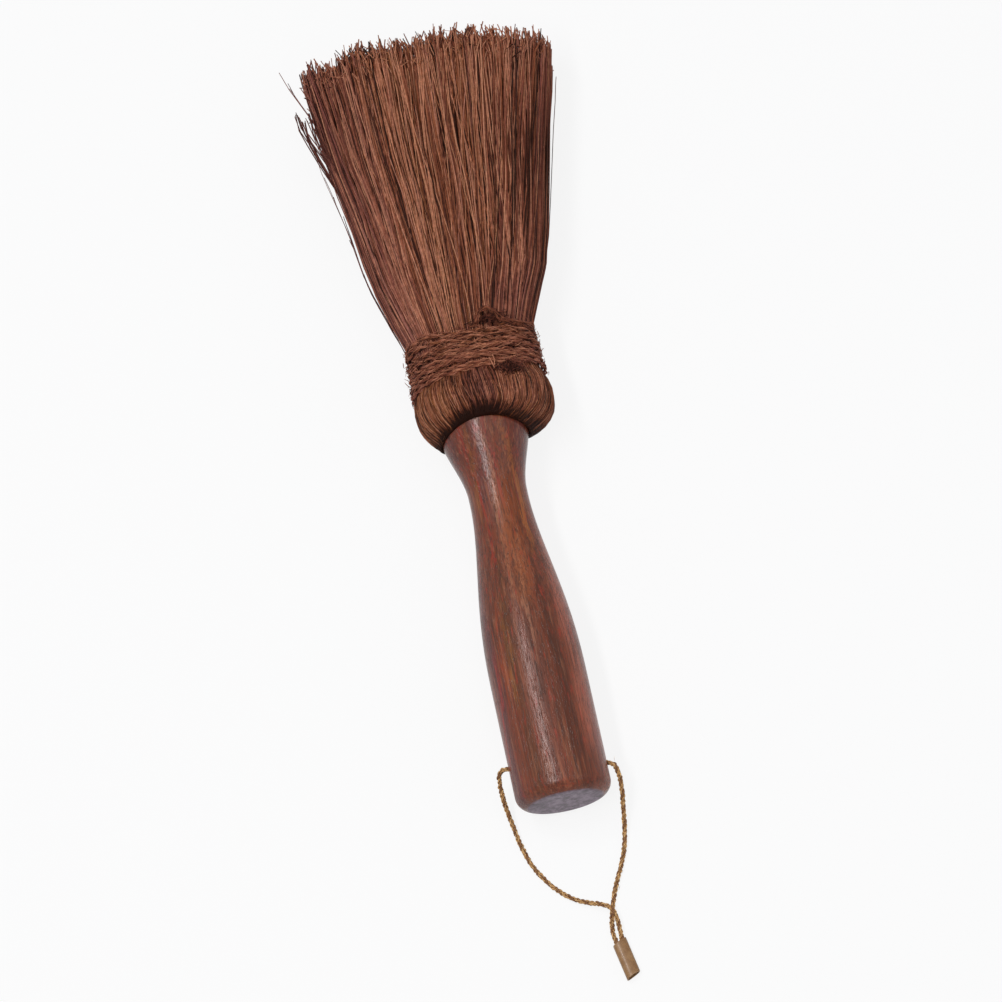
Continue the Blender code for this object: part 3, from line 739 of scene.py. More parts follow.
# Where x is at the tips, and how far the upper strands reach there
TIP_LINE = (
    (-37.5, 222.0), (-35.3, 227.5), (-34.0, 233.5), (-32.5, 240.0), (-30.5, 243.2),
    (-28.4, 245.0), (-24.0, 244.6), (-21.8, 244.3), (-15.1, 246.0), (-5.6, 246.3),
    (3.6, 245.6), (10.2, 247.0), (16.0, 247.4), (25.5, 245.0), (34.5, 242.6),
    (40.3, 240.4), (42.0, 239.4), (45.6, 236.5), (47.3, 231.0), (48.0, 226.0),
)
# How much further a strand reaches for each mm that its tip lies lower
TIP_SLANT = 0.42
FAN_STRANDS = 6200
TOP_STRANDS = 640
FAN_TUFTS = 430
FAN_STEPS = np.array(
    [0, 0.08, 0.12, 0.17, 0.27, 0.4, 0.53, 0.66, 0.79, 0.9, 0.965, 1.0]
)
HANKS = 12


def fan_section(along):
    return columns_at(FAN, along)


def in_row(group):
    """A group of strands in metres in the row frame, with none under the floor."""
    group["paths"] = off_floor(to_row(group["paths"]))
    group["radii"] = group["radii"] * MM
    return group


def hank_of(x, z):
    """Which of the CAD hanks a strand belongs to, by the angle of its root."""
    return (np.arctan2(z, x) % math.tau / math.tau * HANKS).astype(int) % HANKS


def root_hank(u, v):
    start = fan_section(np.full(np.shape(u), 150.0))
    return hank_of(start[0] + start[1] * u, start[2] * v)


def tip_reach(u):
    """How far strands reach at a share of the fan's width."""
    middle, half, depth, drop = fan_section(np.full(np.shape(u), 240.0))
    line = np.array(TIP_LINE)
    reach = np.interp(middle + half * u, line[:, 0], line[:, 1])
    upper = depth * np.sqrt(np.maximum(0, 1 - u**2)) - drop
    return reach + TIP_SLANT * (8 - upper)


def notch_depth(u):
    """How much shorter strands are where gaps part the tufts along the tips."""
    own = np.random.default_rng(41)
    place = np.arange(-0.97, 0.98, 0.052)
    place = place + own.uniform(-0.02, 0.02, len(place))
    half = own.uniform(0.008, 0.024, len(place))
    deep = own.uniform(1.5, 5.0, len(place))
    share = np.clip(1.5 - 1.5 * np.abs(u[:, None] - place) / half, 0, 1)
    return (deep * share).max(axis=1)


def fan_places():
    """Shares of the fan's section for the strands in it, then for those on top."""
    number = np.arange(FAN_STRANDS)
    out = ((number + 0.5) / FAN_STRANDS) ** 0.38
    angle = number * math.pi * (3 - math.sqrt(5))
    u = out * np.cos(angle) + rng.normal(0, 0.006, FAN_STRANDS)
    v = out * np.sin(angle) + rng.normal(0, 0.012, FAN_STRANDS)
    far = np.maximum(np.hypot(u, v), 1)
    top = rng.uniform(-0.93, 0.93, TOP_STRANDS)
    out = rng.uniform(0.97, 1.04, TOP_STRANDS)
    side = np.where(rng.random(TOP_STRANDS) < 0.7, 1, -1)
    u = np.concatenate([u / far, top])
    v = np.concatenate([v / far, side * out * np.sqrt(1 - top**2)])
    return u, v


def fan_strands():
    """Paths of the fan's bristles, with their radii, tones and hanks."""
    u, v = fan_places()
    count = len(u)
    on_top = np.arange(count) >= FAN_STRANDS
    out = np.hypot(u, v)

    # Tufts: strands gather round the nearest of these towards the tips
    tuft_out = np.sqrt(rng.random(FAN_TUFTS))
    tuft_angle = rng.uniform(0, math.tau, FAN_TUFTS)
    tuft_u = tuft_out * np.cos(tuft_angle)
    tuft_v = tuft_out * np.sin(tuft_angle)
    du, dv = (u[:, None] - tuft_u) * 40, (v[:, None] - tuft_v) * 15
    tuft = np.argmin(du**2 + dv**2, axis=1)
    tuft_drop = -np.abs(rng.normal(0, 1.0, FAN_TUFTS))
    tuft_tone = rng.normal(0, 0.09, FAN_TUFTS)

    # How far each strand leans aside at its tip, in mm, and not out of the fan
    edge = np.clip((1 - np.abs(u)) / 0.22, 0.12, 1)
    lean_x = rng.normal(0, 2.6, count)
    wide = rng.random(count) < 0.28
    lean_x = np.where(wide, rng.normal(0, 5.0, count), lean_x)
    crossing = np.where(rng.random(count) < 0.35, 11.0, 6.5)
    lean_x = np.where(on_top, rng.normal(0, 1, count) * crossing, lean_x)
    room = 32 * np.maximum(1 - np.abs(u), 0) + 0.3
    outward = np.sign(lean_x) * np.minimum(np.abs(lean_x) * edge, room)
    lean_x = np.where(lean_x * u < 0, lean_x * np.sqrt(edge), outward)
    splayed = (u > 0.86) & (rng.random(count) < 0.12)
    lean_x = np.where(splayed, np.abs(rng.normal(1.4, 1.0, count)), lean_x)
    lean_z = rng.normal(0, 0.8, count)
    drawn = rng.beta(2, 1.4, count)

    # The last few millimetres bend, and some tips hook
    bend = rng.normal(0, 15, count)
    hooked = rng.random(count) < 0.3
    bend = np.where(hooked, np.clip(rng.normal(0, 50, count), -70, 70), bend)
    bend = np.radians(bend) * edge**0.5
    bend = np.where((bend * u > 0) & (np.abs(u) > 0.8), 0.4 * bend, bend)

    # How far each strand reaches
    end_u = u + 0.84 * drawn * (tuft_u[tuft] - u) + (lean_x + 3.5 * np.sin(bend)) / 38
    tip = tip_reach(end_u) + 0.5 + tuft_drop[tuft] - notch_depth(end_u)
    tip = tip + 2.4 * bell(end_u, -0.5, 0.25)
    tip = tip + np.minimum(rng.normal(-0.9, 1.0, count), 1.8)
    tip = tip - (rng.random(count) < 0.45) * rng.uniform(0, 5.5, count)
    root = 138 + rng.uniform(0, 3, count)
    along = root[:, None] + (tip - root)[:, None] * FAN_STEPS
    middle, half, depth, drop = fan_section(along)

    flare = rise(along, 153, 90)
    close = np.clip(1 - (tip[:, None] - along) / 26, 0, 1) ** 1.3
    pull = drawn[:, None] * (0.10 * flare + 0.74 * close)
    du = (tuft_u[tuft] - u)[:, None] * pull
    dv = (tuft_v[tuft] - v)[:, None] * pull
    wave = rng.uniform(0.03, 0.42, count)[:, None]
    turns = rng.uniform(0.4, 1.5, count)[:, None]
    phase = rng.uniform(0, math.tau, (2, count))[..., None]
    swell = np.minimum(1, flare * 5) * edge[:, None]
    sway_x, sway_z = wave * np.sin(math.tau * turns * flare + phase) * swell
    x = middle + half * (u[:, None] + du) + lean_x[:, None] * flare**1.1 + sway_x
    z = depth * (v[:, None] + dv) - drop + lean_z[:, None] * flare**1.2 + sway_z
    # Strands on top keep to the fan's surface where they cross it
    surface = np.sqrt(1 - np.clip((x - middle) / half, -0.97, 0.97) ** 2)
    surface = depth * np.sign(v)[:, None] * out[:, None] * surface - drop + 0.4 * sway_z
    z = np.where(on_top[:, None], surface, z)

    length = (along[:, -1] - along[:, -2])[:, None]
    x[:, -1:] += length * np.sin(bend)[:, None]
    z[:, -1:] += length * np.sin(rng.normal(0, 0.3, count))[:, None]
    along[:, -1:] -= length * (1 - np.cos(bend))[:, None]

    thick = rng.uniform(0.11, 0.21, count), rng.uniform(0.13, 0.24, count)
    profile = np.interp(FAN_STEPS, [0, 0.1, 0.3, 0.8, 1], [0.8, 0.88, 1, 1, 1])
    # Painted shade and light: strands inside the fan start darker than those lying on
    # top, and of those on top the higher ones are paler
    inner = rng.normal(0.30, 0.36, count) + tuft_tone[tuft]
    under = 0.25 * rise(0.97 - out, 0, 0.08) * ~on_top
    outermost = rng.normal(0.52, 0.33, count) + 6.5 * (out - 1.0)
    tone = np.where(on_top, outermost, inner)[:, None]
    # Painted shade: darker at the roots, next to the binding
    tone = tone - 0.10 * np.exp(-(along - 150) / 9)
    # Painted shade: strands deep under the fan's surface are darker, except within a
    # few mm of their tips
    tone = tone - under[:, None] * rise(tip[:, None] - along, 4, 14)
    paler = 0.18 + 0.18 * u + 0.1 * rise(u, 0.4, 0.3)
    tone = tone + paler[:, None] * rise(along, 205, 30)
    shade = bell(x, 15, 8) * bell(along, 157, 11)
    sides = 0.06 * rise(-u, 0.3, 0.3) + 0.02 * rise(u, 0.35, 0.3)
    hue = rng.normal(0.02, 0.14, count)
    hue = hue + 0.22 * rise(u, 0.35, 0.6) + 0.4 * rise(-u, 0.5, 0.35)
    return {
        "paths": np.stack([x, along, z], -1),
        "radii": np.where(on_top, *thick)[:, None] * profile,
        "tone": np.clip(np.clip(tone - 0.22 * shade, 0, 1) + sides[:, None], 0, 1),
        "hue": np.clip(hue, -0.5, 0.75)[:, None] + 0.25 * shade,
        "hank": root_hank(u, v),
    }


# Single hairs off the fan's left edge: x and distance of the tip, height, where it
# parts from the edge, share of the half width there, radius, hook and tone
STRAY_HAIRS = (
    (-38.3, 243.4, -2.0, 216.0, 0.95, 0.15, 0.2, 0.55),
    (-35.4, 237.4, -2.4, 215.0, 0.95, 0.14, -0.3, 0.35),
    (-36.4, 239.3, -2.2, 215.5, 0.95, 0.12, 0.4, 0.25),
    (-32.0, 212.0, -3.0, 166.0, 1.02, 0.09, 0.2, 0.5),
    (-31.0, 206.0, -3.6, 160.0, 1.02, 0.12, -0.2, 0.15),
    (-29.6, 199.0, -2.6, 158.0, 1.02, 0.13, 0.3, 0.1),
    (-28.2, 192.0, -4.0, 156.0, 1.02, 0.13, 0.2, 0.05),
    (-27.1, 184.0, -3.0, 154.0, 1.02, 0.12, -0.2, 0.1),
    (-25.5, 172.0, -3.4, 152.0, 1.02, 0.11, 0.1, 0.1),
)
SPLAYED_HAIRS = 21
LEFT_HANK = 5
# The camera's height over the brush's axis, rounded
CAMERA_HEIGHT = 1501


def stray_strands():
    """Strands that part from the fan's left edge: a splayed tuft and single hairs."""
    steps = np.array([0, 0.1, 0.2, 0.35, 0.5, 0.6, 0.7, 0.8, 0.88, 0.94, 1.0])
    rows = []
    for i in range(SPLAYED_HAIRS):
        share = (i + rng.uniform(0.2, 0.8)) / SPLAYED_HAIRS
        low = rng.uniform(-7.5, 1.0)
        reach = 226.8 + 2.2 * math.sin(9 * share + 1) - 2.0 * share**3
        x = -37.8 + 7.4 * share + rng.normal(0, 0.25)
        hook = rng.normal(1.3, 0.9)
        part = rng.uniform(199, 208)
        rows.append((x, reach + rng.normal(0, 0.9), low, part, 0.97, 0.2, hook, 0.17))
    paths, radii, tones = [], [], []
    for x, reach, low, part, share, size, hook, tone in rows + list(STRAY_HAIRS):
        reach = reach + TIP_SLANT * (8 - low)
        along = 141 + (reach - 141) * steps
        middle, half, depth, drop = fan_section(along)
        z = np.interp(along, [141, 150, part, reach], [0, 0, low * 0.8, low])
        flat = np.clip((z + drop) / depth, -0.9, 0.9)
        edge = middle - half * share * np.sqrt(1 - flat**2)
        edge = edge - (0.1 if size < 0.13 else 0)
        leave = rise(along, part, reach - part)
        # Read off the photograph as if at z = 8, so a lower tip lies further out
        x = x * (CAMERA_HEIGHT - low) / (CAMERA_HEIGHT - 8)
        away = edge + (x - edge[-1]) * leave**1.25
        away = away + hook * rise(steps, 0.93, 0.07) ** 2
        away = away + 0.25 * np.sin(7 * leave + 3 * low) * leave
        paths.append(np.stack([away, along, z], -1))
        radii.append(size * np.array([0.9] * 8 + [0.95, 0.9, 0.8]))
        tones.append(tone + rng.normal(0, 0.05))
    return {
        "paths": np.array(paths),
        "radii": np.array(radii),
        "tone": np.clip(tones, 0, 1)[:, None],
        "hue": np.full((len(paths), 1), 0.5),
        "hank": np.full(len(paths), LEFT_HANK),
    }


# Fold of fibre round the handle's end

# Share of the way over the fold, distance, half width, half depth, middle x, and how
# much of the lip's hang is reached
FOLD = (
    (0.00, 139.0, 18.4, 13.6, 1.65, 0.0),
    (0.12, 134.5, 18.8, 15.6, 1.65, 0.0),
    (0.20, 132.2, 19.3, 16.6, 1.65, 0.0),
    (0.28, 130.0, 20.4, 18.6, 1.7, 0.05),
    (0.38, 127.3, 21.0, 20.0, 1.8, 0.15),
    (0.50, 124.5, 20.8, 20.5, 1.85, 0.46),
    (0.60, 122.3, 20.2, 20.0, 2.0, 0.51),
    (0.70, 120.5, 18.9, 18.9, 1.9, 0.63),
    (0.79, 119.2, 17.0, 17.5, 1.6, 0.83),
    (0.87, 118.3, 15.3, 16.0, 1.0, 0.94),
    (0.93, 117.9, 14.4, 14.9, 0.4, 1.03),
    (1.00, 118.7, 14.0, 14.0, 0.0, 1.08),
)
FOLD_STRANDS = 5600
FOLD_LOCKS = 230
FOLD_STEPS = 14
LIP_HANG = 3.5


def fold_place(share, angle, inset):
    """A point on the fold: share of the way over it, angle round it, depth under it."""
    along, half, depth, middle, lip = columns_at(FOLD, share)
    along = along - LIP_HANG * lip * np.cos(angle) ** 2 - 0.3 * np.cos(angle)
    valley = 1.3 * bell(angle, math.radians(101), 0.22) * bell(share, 0.66, 0.2)
    x = middle + (half - inset - valley) * np.cos(angle)
    z = (depth - inset - valley) * np.sin(angle)
    hug = ease(rise(share, 0.9, 0.1))
    rim = flare_radius(along) + 0.2
    x = x + (rim * np.cos(angle) - x) * hug
    z = z + (rim * np.sin(angle) - z) * hug
    return np.stack([x, along, z], -1)


def fold_strands():
    """Paths of the fibre over the fold, with their radii, tones and hanks."""
    count = FOLD_STRANDS
    angle = (np.arange(count) + rng.uniform(0, 1, count)) / count * math.tau
    share = np.linspace(0, 1, FOLD_STEPS)[None, :]

    # Locks: neighbours draw together a little over the widest part
    lock_angle = np.sort(rng.uniform(0, math.tau, FOLD_LOCKS))
    lock = np.searchsorted(lock_angle, angle) % FOLD_LOCKS
    gather = (lock_angle[lock] - angle + math.pi) % math.tau - math.pi
    pull = (0.5 * rng.beta(2, 2, count))[:, None] * np.sin(math.pi * share) ** 2
    drift = rng.normal(0, 0.08, count)[:, None]
    phase = rng.uniform(0, math.tau, count)[:, None]
    wave = rng.uniform(0, 0.028, count)[:, None]
    turned = angle[:, None] + drift * (share - 0.3) + wave * np.sin(5 * share + phase)
    turned = turned + np.clip(gather, -0.06, 0.06)[:, None] * pull
    inset = rng.uniform(0, 1, count)[:, None] ** 1.3 * 1.1
    inset = inset + 0.15 * np.sin(9 * share + phase) - 0.1
    paths = fold_place(np.broadcast_to(share, turned.shape), turned, inset)
    radii = rng.uniform(0.07, 0.13, count)[:, None]
    lock_tone = rng.normal(0, 0.05, FOLD_LOCKS)
    tone = rng.normal(0.43, 0.36, count) + lock_tone[lock]
    # Painted shade: darker round the top of the fold (right); the bell at 55 degrees
    # makes it paler there
    right = bell(angle, math.radians(90), 0.3)
    tone = tone - 0.15 * right + 0.12 * bell(angle, math.radians(55), 0.3)
    # Painted shade: the fibre darkens where the lip turns under towards the handle
    tone = tone[:, None] - 0.8 * ease(rise(share, 0.72, 0.2))
    # Painted shade: darkest in the gap between the lip and the handle, round the top
    painted_crevice_shade = bell(angle, math.radians(97), 0.5)[:, None]
    tone = tone - 0.8 * painted_crevice_shade * ease(rise(share, 0.64, 0.12))
    # Painted light and shade in the hue: more golden on the left as if lit, more purple
    # over the shaded top (right)
    left = np.clip(-np.cos(angle) + 0.25, 0, 1) * np.clip(np.sin(angle) + 0.4, 0, 1)
    hue = rng.normal(-0.02, 0.16, count) - 0.12 * left + 0.3 * right
    # Painted shade at the lip also turns its hue towards gold
    lip_shade_hue = -0.12 * ease(rise(share, 0.8, 0.15))
    return {
        "paths": paths,
        "radii": radii,
        "tone": np.clip(tone, 0, 1),
        "hue": np.clip(hue[:, None] + lip_shade_hue, -0.7, 0.7),
        "hank": hank_of(paths[:, 4, 0], paths[:, 4, 2]),
    }


def make_hanks(material):
    """The bristles and the fold's fibre, one mesh for each of the CAD hanks."""
    fan = fan_strands()
    stray = stray_strands()
    fold = fold_strands()
    for number in range(HANKS):
        groups = []
        for strands in (fan, stray, fold):
            own = strands["hank"] == number
            if not own.any():
                continue
            group = {key: values[own] for key, values in strands.items()}
            group["across"] = [1.0, 0.0, 0.0]
            if strands is fold:
                first = group["paths"][:, 5]
                around = np.stack([-first[:, 2], 0 * first[:, 0], first[:, 0]], -1)
                group["across"] = around[:, None]
            groups.append(in_row(group))
        name = f"bristle_hank_{number + 1:02d}"
        mesh = strand_mesh(name, groups)
        node = f"fibre_hank_{number + 1:02d}"
        new_piece(name, mesh, material, "brush", [node])


CORE_SIDES = 96
# Radius of its hollow, and how far it lies under the fold's surface
CORE_RADIUS = 14.6
CORE_INSET = 1.15


def make_core(material):
    """The packed fibre under the surface, so that no light comes through."""
    around = full_turn(CORE_SIDES)
    rings = [oval(around, y, CORE_RADIUS, CORE_RADIUS) for y in (137.0, 122.0)]
    for share in np.linspace(0.9, 0.1, 15):
        rings.append(fold_place(np.full(CORE_SIDES, share), around, CORE_INSET))
    for y, scale in ((140, 0.95), (146, 0.94), (150, 0.9), (156, 0.75), (170, 0.5)):
        middle, half, depth, drop = fan_section(np.array(float(y)))
        rings.append(oval(around, float(y), half * scale, depth * scale, middle, drop))
    mesh = from_rings("fibre_core", [off_floor(to_row(ring)) for ring in rings])
    # Painted shade: the packed core has the fibre's darkest tone
    each = np.ones(len(mesh.vertices))
    paint(mesh, tone=0 * each, hue=-0.1 * each)
    new_piece("fibre_core", mesh, material, "brush")


# Twine

# Radius that the twine's loose fibres bend round with
SEAT_RADIUS = 19


def twisted(path, out, seed, plies, ply_offset, lay, fibres, spread, ply_lay, size):
    """Fibres of a twisted line along a path: plies round it, and fibres round each.

    out is the direction at each point that the twist is counted from."""
    own = np.random.default_rng(seed)
    ahead = unit(np.gradient(path, axis=0))
    first = unit(out - ahead * (out * ahead).sum(-1, keepdims=True))
    second = np.cross(ahead, first)
    along = walked(path)

    def wound(line, far, turn):
        line = line + (far * np.cos(turn))[:, None] * first
        return line + (far * np.sin(turn))[:, None] * second

    # Painted light: fibres on the twine's upper side get a paler, more golden tone
    painted_top_light = np.clip(out[:, 2], 0, 1) ** 2 * 0.13
    paths, radii, tones, hues = [], [], [], []
    for ply in range(plies):
        a = math.tau * along / lay + math.tau * ply / plies
        reach = ply_offset * (1 + 0.08 * np.sin(along * 0.7 + ply))
        middle = wound(path, reach, a)
        for fibre in range(fibres):
            drift = np.cumsum(own.normal(0, 0.10, len(along)))
            drift = drift - np.linspace(0, drift[-1], len(along))
            b = -math.tau * along / ply_lay + math.tau * fibre / fibres + drift
            swell = np.sin(along * own.uniform(0.3, 0.9) + own.uniform(0, 6))
            wide = spread * (1 + 0.3 * swell)
            paths.append(wound(middle, wide, b))
            radii.append([size * own.uniform(0.8, 1.2)])
            ripple = 0.14 * np.sin(along * own.uniform(0.4, 1.4) + own.uniform(0, 6))
            # Painted light and shade: fibres on the outside of the twist are paler,
            # those on its inside darker
            outer = reach * np.cos(a) + wide * np.cos(b)
            outer = outer / (ply_offset + spread + 0.01)
            tones.append(own.normal(0.25, 0.32) + ripple + painted_top_light + 0.26 * outer)
            hues.append(own.normal(0.3, 0.14) - 2.8 * painted_top_light)
    return {
        "paths": np.array(paths),
        "radii": np.array(radii),
        "across": first,
        "tone": np.clip(tones, 0, 1),
        "hue": np.clip(hues, -0.4, 0.6),
    }


def hairs(path, out, seed, count, length, lift, tone):
    """Loose fibres that lie along a twine and stand off it a little."""
    own = np.random.default_rng(seed)
    ahead = unit(np.gradient(path, axis=0))
    at = own.integers(1, len(path) - 2, count)
    up = unit(out)[at]
    start = path[at] + own.normal(0, 0.35, (count, 3)) + up * 0.5
    side = np.cross(ahead[at], up)
    way = ahead[at] * own.choice([-1, 1], count)[:, None]
    way = unit(way + side * own.normal(0, 0.3, count)[:, None])
    reach = own.uniform(0.35, 1, count)[:, None, None] * length
    climb = (own.uniform(0, 1, count) ** 2 * lift)[:, None, None]
    steps = np.linspace(0, 1, 6)[None, :, None]
    round_it = -0.5 * (reach * steps) ** 2 / SEAT_RADIUS
    paths = start[:, None] + way[:, None] * reach * steps
    paths = paths + up[:, None] * (round_it + climb * reach * steps**2)
    paths = paths + own.normal(0, 0.35, (count, 1, 1)) * side[:, None] * steps**2
    taper = np.array([0.8, 1, 1, 0.95, 0.8, 0.5])
    return {
        "paths": paths,
        "radii": own.uniform(0.07, 0.12, count)[:, None] * taper,
        "across": up[:, None],
        "tone": np.clip(own.normal(tone, 0.2, count), 0, 1)[:, None],
        "hue": np.clip(own.normal(0.05, 0.12, count), -0.3, 0.5)[:, None],
    }


def tangle(middle, spread, seed, count, length, tone, hue):
    """A knot's loose fuzz: short curled fibres round a point."""
    own = np.random.default_rng(seed)
    steps = np.linspace(0, 1, 9)[None, :, None]
    start = np.array(middle) + own.normal(0, 0.45, (count, 3)) * np.array(spread)
    way = unit(own.normal(0, 1, (count, 3)))[:, None]
    turn = unit(own.normal(0, 1, (count, 3)))[:, None]
    curl = own.uniform(0.6, 1.5, count)[:, None, None]
    reach = own.uniform(0.4, 1, count)[:, None, None] * length
    angle = math.pi * curl * (steps - 0.5)
    paths = start[:, None] + way * np.sin(angle) * reach * 0.45
    paths = paths + turn * (np.cos(angle) - 0.5) * reach * 0.35
    paths[..., 2] = np.maximum(paths[..., 2], middle[2] - 1.3 * spread[2])
    return {
        "paths": paths,
        "radii": own.uniform(0.08, 0.13, count)[:, None],
        "across": [0.3, 0.2, 1],
        "tone": np.clip(own.normal(tone, 0.14, count), 0, 1)[:, None],
        "hue": hue,
    }


def seat(angle, along, lift):
    """Points at a lift over the binding's seat, and the direction out of it there."""
    stops = (130, 134, 142, 149, 153)
    half = np.interp(along, stops, (19.9, 19.55, 18.9, 18.7, 19.6)) + lift
    depth = np.interp(along, stops, (17.2, 15.7, 13.2, 11.5, 12.0)) + lift
    place = np.stack([1.6 + half * np.cos(angle), along, depth * np.sin(angle)], -1)
    out = np.stack([np.cos(angle) / half, 0 * angle, np.sin(angle) / depth], -1)
    out = unit(out) + np.array([0, 0.25, 0]) * np.abs(np.sin(angle))[:, None]
    return place, unit(out)


def wobble(values, seed, scale):
    own = np.random.default_rng(seed)
    total = 0
    for k in range(5):
        total = total + np.sin(values * own.uniform(0.4, 3.2) + own.uniform(0, 6.3))
    return total * scale / 2.2


def binding_path(first, turns, seed):
    """A twine's turns, counted from the lowest of the whole binding."""
    turned = np.arange(0, turns * math.tau, 0.03)
    angle = math.radians(66) + turned
    number = first + turned / math.tau
    along = 132.3 + 1.76 * number + wobble(turned, seed, 0.24)
    along = along - 0.9 * np.cos(angle) ** 2 * np.clip(1 - number / 5, 0, 1)
    around = (angle - math.radians(140) + math.pi) % math.tau - math.pi
    knot = bell(around, 0, math.radians(34))
    along = along + 2.3 * knot * rise(number, 4.6, 2.4) ** 1.4
    return seat(angle, along, 0.8 + wobble(turned, seed + 1, 0.13))


TWINE = dict(
    plies=2, ply_offset=0.40, lay=9.0, fibres=10, spread=0.31, ply_lay=6.0, size=0.13
)
# The upper knot's loop and the lower knot's tails, in mm
UPPER_KNOT = (
    (2.4, 147.0, 12.4), (4.6, 147.6, 12.8), (5.6, 149.6, 13.4), (7.1, 151.2, 13.7),
    (9.4, 150.9, 13.6), (11.0, 149.3, 13.0), (12.6, 147.4, 12.2), (15.0, 146.3, 11.2),
    (18.0, 146.0, 8.6),
)
LOWER_TAILS = (
    ((6.3, 134.4, 17.3), (6.9, 132.0, 18.4), (7.3, 129.6, 19.0)),
    ((7.4, 135.2, 17.2), (7.7, 133.0, 18.2), (7.4, 131.2, 18.8)),
)


def make_bindings(material):
    """The two twines, each with its loose fibres and its knot."""
    lower = binding_path(0.0, 4.15, 5)
    upper = binding_path(4.1, 4.0, 11)
    loop = smooth_path(UPPER_KNOT, 0.4)
    loop = loop, np.tile([0.1, 0.2, 1.0], (len(loop), 1))
    tails = {
        "paths": np.array([smooth_path(tail, 0.7)[:7] for tail in LOWER_TAILS]),
        "radii": np.array([0.2, 0.2, 0.2, 0.19, 0.18, 0.16, 0.12]),
        "across": [1.0, 0, 0],
        "tone": 0.95,
        "hue": 0.0,
    }
    dark_loop = twisted(*loop, 17, **{**TWINE, "lay": 6.0, "spread": 0.3})
    dark_loop["tone"] = dark_loop["tone"] * 0.55
    lower_groups = [
        twisted(*lower, 3, **TWINE),
        hairs(*lower, 4, 430, 6.0, 0.12, 0.68),
        hairs(*lower, 6, 30, 3.0, 0.4, 0.6),
        # Painted shadow: this fuzz is very dark for the shade round the lower knot
        tangle((10.6, 129.6, 16.9), (3.8, 2.4, 1.5), 8, 260, 3.4, 0.10, 0.15),
        tangle((13.6, 131.0, 15.6), (4.0, 1.6, 1.2), 9, 70, 4.0, 0.4, 0.2),
        tails,
    ]
    upper_groups = [
        twisted(*upper, 7, **TWINE),
        hairs(*upper, 10, 430, 6.0, 0.12, 0.68),
        hairs(*upper, 12, 30, 3.0, 0.4, 0.6),
        dark_loop,
        hairs(*loop, 13, 40, 4.0, 0.25, 0.4),
        tangle((9.2, 148.6, 12.2), (5.2, 1.5, 0.8), 14, 170, 3.4, 0.14, 0.1),
    ]
    for end, groups in (("lower", lower_groups), ("upper", upper_groups)):
        name = f"binding_{end}"
        mesh = strand_mesh(name, [in_row(group) for group in groups])
        node = f"binding_twine_{end}"
        new_piece(name, mesh, material, "brush", [node])


# Cord and sleeve

# The cord's route, as in the part's source, in mm in the row frame
CORD_ROUTE = (
    (1.83, -176.93, 1.70), (-0.01, -166.59, 1.70), (0.05, -163.75, 1.85),
    (-0.05, -161.15, 2.45), (-0.40, -158.55, 3.20), (-1.50, -156.15, 3.45),
    (-3.90, -154.65, 3.20), (-7.40, -153.15, 2.30), (-11.70, -150.55, 1.40),
    (-15.70, -146.75, 0.95), (-19.10, -142.15, 0.95), (-21.60, -137.15, 0.95),
    (-23.20, -131.75, 1.30), (-24.20, -126.45, 2.50), (-25.00, -121.55, 4.40),
    (-25.50, -117.15, 7.20), (-25.45, -113.75, 10.60), (-24.60, -111.45, 13.60),
    (-23.00, -111.10, 14.75), (-21.20, -111.48, 14.81), (-14.60, -112.48, 14.81),
    (-7.50, -113.55, 14.81), (-0.40, -114.62, 14.81), (6.84, -115.72, 14.81),
    (8.50, -116.50, 14.55), (9.60, -119.05, 12.40), (9.60, -122.75, 8.80),
    (9.00, -126.75, 5.60), (8.30, -130.95, 3.20), (7.50, -135.15, 1.70),
    (6.30, -139.35, 1.05), (4.60, -143.45, 0.95), (2.75, -147.25, 0.95),
    (1.10, -150.85, 0.95), (-0.10, -154.15, 0.95), (-1.10, -157.45, 0.95),
    (-1.90, -160.65, 1.00), (-2.15, -163.65, 1.35), (-1.79, -166.91, 1.70),
    (0.05, -177.25, 1.70),
)


CORD_PLIES = dict(plies=3, ply_offset=0.40, lay=4.6, ply_lay=3.2)
PLY_TONES = (0.92, 0.72, 0.34)
YARNS = 8


def make_cord(material):
    """The three-ply cord, and its route in metres."""
    path = smooth_path(CORD_ROUTE, 0.4)
    out = np.tile([0.02, 0.03, 1.0], (len(path), 1))
    yarns = twisted(path, out, 31, fibres=YARNS, spread=0.29, size=0.095, **CORD_PLIES)
    own = np.random.default_rng(33)
    tones = np.repeat(PLY_TONES, YARNS) + own.normal(0, 0.1, len(PLY_TONES) * YARNS)
    yarns["tone"] = np.clip(tones, 0, 1)[:, None]
    cores = twisted(path, out, 31, fibres=1, spread=0.0, size=0.29, **CORD_PLIES)
    cores["radii"] = 0.29
    # Painted shade: each ply's core is dark and shows between its yarns
    cores["tone"] = 0.15
    fuzz = hairs(path, out, 35, 70, 1.6, 0.3, 0.7)
    fuzz["radii"] = fuzz["radii"] * 0.45
    for group in (yarns, cores, fuzz):
        group["paths"] = group["paths"] * MM
        group["radii"] = group["radii"] * MM
    mesh = strand_mesh("cord_loop", [yarns, cores, fuzz], sides=5)
    cord = new_piece(
        "cord_loop", mesh, material, "hanging_loop", ["hanging_cord"]
    )
    return cord, path * MM


SLEEVE_SIDES = 56
SLEEVE_CREASE = math.radians(50)


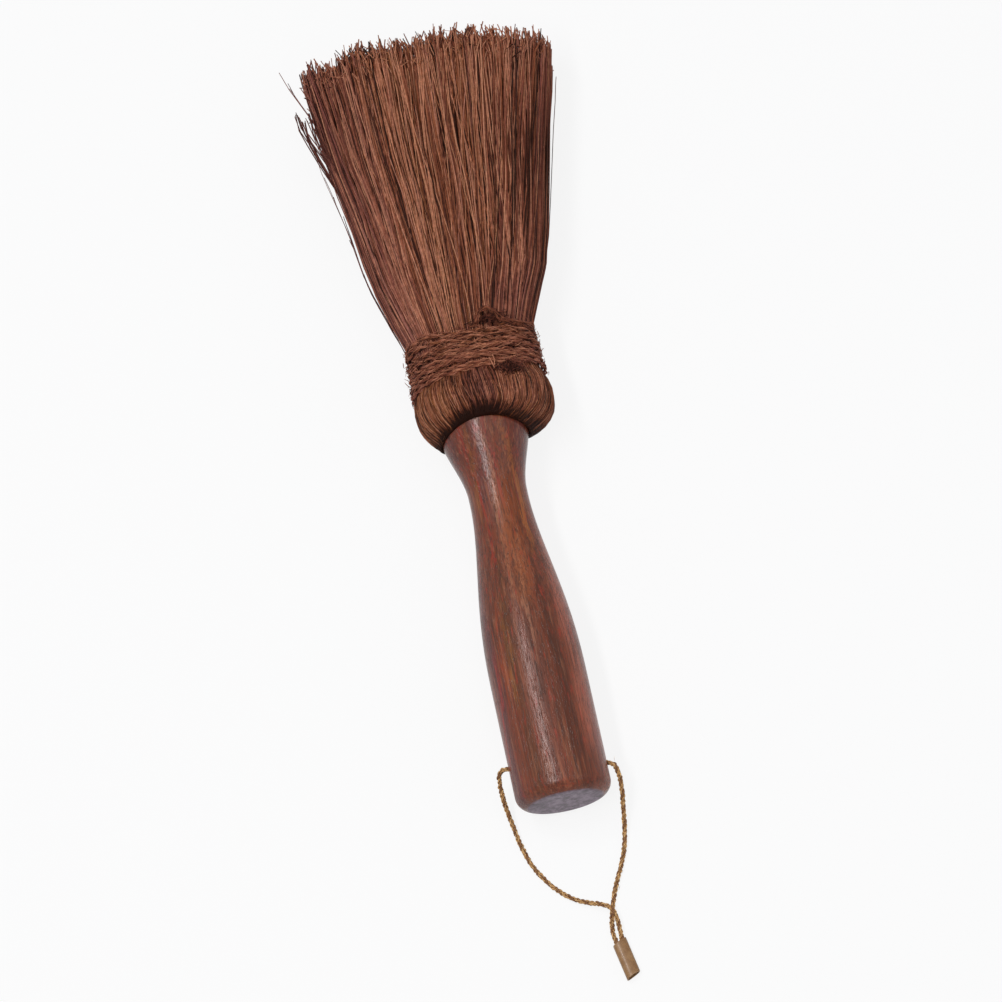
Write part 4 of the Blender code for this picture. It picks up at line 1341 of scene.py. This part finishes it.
def sleeve_outline(inset):
    """A flat tube's rounded outline, with a soft crease along its upper side."""
    across, up = np.cos(full_turn(SLEEVE_SIDES)), np.sin(full_turn(SLEEVE_SIDES))
    x = np.sign(across) * np.abs(across) ** 0.62 * (2.28 - inset)
    z = np.sign(up) * np.abs(up) ** 0.72 * (1.6 - inset)
    crease = np.where(z > 0, 0.14 - 0.16 * np.abs(x + 0.6), 0)
    return np.stack([x, z + crease], -1)


def make_sleeve(material):
    """The flat sleeve over the cord's two ends, cut slanting at both of them."""
    across = [math.cos(SLEEVE_TURN), math.sin(SLEEVE_TURN), 0]
    down = [math.sin(SLEEVE_TURN), -math.cos(SLEEVE_TURN), 0]
    turn = np.array([across, down, [0, 0, 1]])
    rings = []
    for inset, stops in (
        (0.0, (0.06, 0.3, 1.2, 3, 5.5, 8, 9.9, 10.8, 11.04)),
        (0.06, (11.1,)),
        (0.36, (11.1, 11.0, 8, 5.5, 3, 0.2, 0.0)),
        (0.06, (0.0,)),
    ):
        x, z = sleeve_outline(inset).T
        for stop in stops:
            nip = 1 - 0.05 * bell(stop, 5.6, 3.2)
            ring = np.stack([x, stop - 0.28 * x, z * nip], -1)
            rings.append((ring @ turn + np.array(SLEEVE_MOUTH)) * MM)
    rings.append(rings[0])
    mesh = from_rings("end_sleeve", rings, capped=False)
    face_out(mesh, weld=0.00001 * MM)
    mesh.shade_smooth()
    mesh.set_sharp_from_angle(angle=SLEEVE_CREASE)
    return new_piece(
        "end_sleeve", mesh, material, "hanging_loop", ["cord_end_sleeve"]
    )


def main():
    make_camera()
    make_stage()
    make_light()
    cord, path = make_cord(cord_material())
    sleeve = make_sleeve(sleeve_material())
    fibre = fibre_material(
        "coconut_fibre",
        (0.050, 0.012, 0.005),
        (0.27, 0.078, 0.036),
        (0.58, 0.25, 0.145),
        (0.23, 0.078, 0.078),
        (0.34, 0.135, 0.036),
        0.5,
    )
    twine = fibre_material(
        "fibre_twine",
        (0.055, 0.014, 0.008),
        (0.27, 0.080, 0.042),
        (0.57, 0.235, 0.135),
        (0.21, 0.070, 0.072),
        (0.36, 0.14, 0.045),
        0.6,
    )
    make_handle(wood_material())
    make_hanks(fibre)
    make_core(fibre)
    make_bindings(twine)
    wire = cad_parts["tie_wire"]
    wire.data.materials.clear()
    wire.data.materials.append(wire_material())
    bpy.context.scene.view_settings.view_transform = "Standard"


main()
